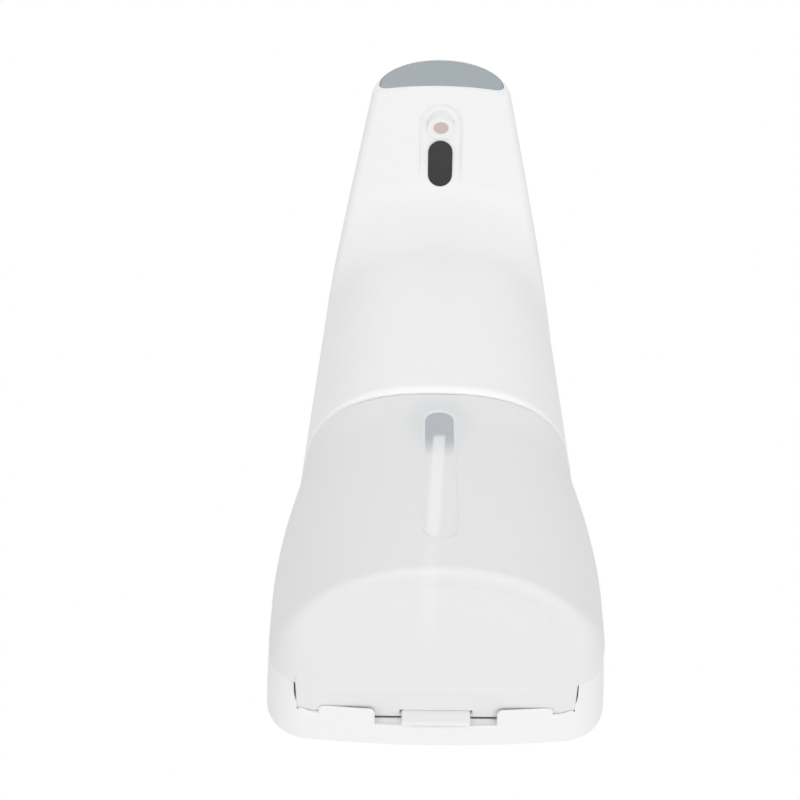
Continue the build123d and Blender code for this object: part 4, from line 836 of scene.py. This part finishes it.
def show_level(material):
    """Level window: clearer than the wall, inside a plain rim.

    What lies behind a rough refracting wall comes out too faint, so the finish carries the cap's
    shade round the window's top and the dip tube's pale stripe below it.
    """
    tree = material.node_tree
    x, depth, height = place_on_piece(tree)
    front = work_out(tree, "GREATER_THAN", depth, CAP_DEPTH)

    along = work_out(tree, "MAXIMUM", height, GAUGE_LOW + GAUGE_HALF)
    along = work_out(tree, "MINIMUM", along, GAUGE_HIGH - GAUGE_HALF)
    away = length_of(tree, x, work_out(tree, "SUBTRACT", height, along))
    away = work_out(tree, "SUBTRACT", away, GAUGE_HALF)
    pane = invert(tree, fade(tree, away, -RIM_WIDE - RIM_SOFT, -RIM_WIDE))
    within_rim = invert(tree, fade(tree, away, -RIM_SOFT, 0.0))
    rim = work_out(tree, "SUBTRACT", within_rim, pane)

    across = work_out(tree, "DIVIDE", x, SHADE_HALF_WIDE)
    upright = work_out(tree, "SUBTRACT", height, SHADE_HEIGHT)
    upright = work_out(tree, "DIVIDE", upright, SHADE_HALF_HIGH)
    shade = length_of(tree, across, upright)
    shade = product(tree, invert(tree, fade(tree, shade, SHADE_CORE, SHADE_EDGE)), front)

    lean = product(tree, work_out(tree, "SUBTRACT", height, TUBE_TOP), TUBE_LEAN)
    beside = work_out(tree, "ABSOLUTE", work_out(tree, "SUBTRACT", x, lean))
    stripe = invert(tree, fade(tree, beside, TUBE_HALF - TUBE_SOFT, TUBE_HALF + TUBE_SOFT))
    below_cap = invert(tree, fade(tree, height, TUBE_TOP - TUBE_END, TUBE_TOP + TUBE_END))
    stripe = product(tree, stripe, below_cap, front)

    seen = product(tree, pane, 1.0 - SHADE_THROUGH_WALL)
    seen = work_out(tree, "ADD", seen, SHADE_THROUGH_WALL)
    seen = product(tree, seen, invert(tree, rim), shade, invert(tree, stripe))
    blend_colour(tree, seen, FROST_COLOUR, CAP_SEEN)

    clear = product(tree, pane, GAUGE_THROUGH - FROST_THROUGH, shade)
    clear = work_out(tree, "ADD", clear, FROST_THROUGH)
    dimmed = work_out(tree, "ADD", product(tree, pane, TUBE_IN_WINDOW), TUBE_IN_WALL)
    clear = product(tree, clear, invert(tree, product(tree, stripe, dimmed)))
    tree.links.new(clear, tree.nodes["Principled BSDF"].inputs["Transmission Weight"])


def clear_inside(obj):
    """Gives the tank's inner faces their own finish."""
    obj.data.materials.append(INSIDE)
    mesh = obj.data
    centre = np.empty(len(mesh.polygons) * 3)
    mesh.polygons.foreach_get("center", centre)
    centre = centre.reshape(-1, 3) * 1000.0
    outside = tank_outside(centre[:, 0], -centre[:, 1], centre[:, 2] + SCREW_HEIGHT)
    inner = outside < -0.5 * TANK_WALL
    mesh.polygons.foreach_set("material_index", inner.astype(np.int32))
    mesh.update()


tank = field_piece("tank_shell", tank_field, TANK_GRID)
true_normals(tank, tank_field)
show_level(FROST)
dress(tank, FROST, "tank", "clear_tank", "tank")
clear_inside(tank)

# ---------------------------------------------------------------- floor, light, camera
# Places and distances here are in metres, except where the camera and lights aim.
FLOOR_DROP, FLOOR_SIZE = 1.25, 12.0
AIM_HEIGHT, AIM_DEPTH = 120.0, 50.0
SURROUND_FROM, SURROUND_TO = 0.45, 1.0
SURROUND_FRONT, SURROUND_SIDE = 1.11, 0.78
CAMERA_LENS, CAMERA_SENSOR, CAMERA_SHIFT = 76.95, 36.0, (-0.048, -0.035)
ELEVATION, YAW, DISTANCE = math.radians(-45.0), math.radians(1.2), 0.600
TARGET = place(0.0, AIM_DEPTH, AIM_HEIGHT)

bpy.ops.mesh.primitive_plane_add(size=FLOOR_SIZE, location=(0, 0, -FLOOR_DROP))
floor = bpy.context.object
floor.name = "floor"
floor.data.materials.append(node_material("pale_floor", (0.90, 0.90, 0.90), 0.8, 0.02, 0.0))


def soft_world():
    """White studio: the background is white, and the object sees a dimmer surround at its sides."""
    world = bpy.data.worlds.new("studio")
    bpy.context.scene.world = world
    world.use_nodes = True
    tree = world.node_tree
    tree.nodes.clear()
    out = tree.nodes.new("ShaderNodeOutputWorld")
    seen = tree.nodes.new("ShaderNodeBackground")
    seen.inputs["Color"].default_value = (1, 1, 1, 1)
    seen.inputs["Strength"].default_value = 1.0
    lit = tree.nodes.new("ShaderNodeBackground")
    coords = tree.nodes.new("ShaderNodeTexCoord")
    split = tree.nodes.new("ShaderNodeSeparateXYZ")
    ramp = tree.nodes.new("ShaderNodeMapRange")
    ramp.interpolation_type = "SMOOTHSTEP"
    ramp.inputs["From Min"].default_value = SURROUND_FROM
    ramp.inputs["From Max"].default_value = SURROUND_TO
    ramp.inputs["To Min"].default_value = SURROUND_FRONT
    ramp.inputs["To Max"].default_value = SURROUND_SIDE
    path = tree.nodes.new("ShaderNodeLightPath")
    pick = tree.nodes.new("ShaderNodeMixShader")
    tree.links.new(coords.outputs["Generated"], split.inputs["Vector"])
    side = work_out(tree, "ABSOLUTE", split.outputs["X"])
    tree.links.new(side, ramp.inputs["Value"])
    tree.links.new(ramp.outputs["Result"], lit.inputs["Strength"])
    tree.links.new(path.outputs["Is Camera Ray"], pick.inputs["Fac"])
    tree.links.new(lit.outputs["Background"], pick.inputs[1])
    tree.links.new(seen.outputs["Background"], pick.inputs[2])
    tree.links.new(pick.outputs["Shader"], out.inputs["Surface"])


soft_world()


def soft_light(name, location, size, watts):
    """Square area light aimed at the object's middle."""
    data = bpy.data.lights.new(name, "AREA")
    data.size = size
    data.energy = watts
    obj = linked(name, data)
    obj.location = location
    obj.rotation_euler = (TARGET - Vector(location)).to_track_quat("-Z", "Y").to_euler()


soft_light("key", (-0.5, -1.4, 0.9), 1.0, 1.5)
soft_light("fill", (0.15, -0.5, -1.15), 1.0, 4.8)

camera_data = bpy.data.cameras.new("camera")
camera_data.sensor_width = CAMERA_SENSOR
camera_data.lens = CAMERA_LENS
camera_data.shift_x, camera_data.shift_y = CAMERA_SHIFT
camera = linked("camera", camera_data)
back = Vector(
    (
        -math.sin(YAW) * math.cos(ELEVATION),
        -math.cos(YAW) * math.cos(ELEVATION),
        math.sin(ELEVATION),
    )
)
camera.location = TARGET + back * DISTANCE
camera.rotation_euler = (-back).to_track_quat("-Z", "Y").to_euler()
bpy.context.scene.camera = camera
bpy.context.scene.view_settings.view_transform = "Standard"
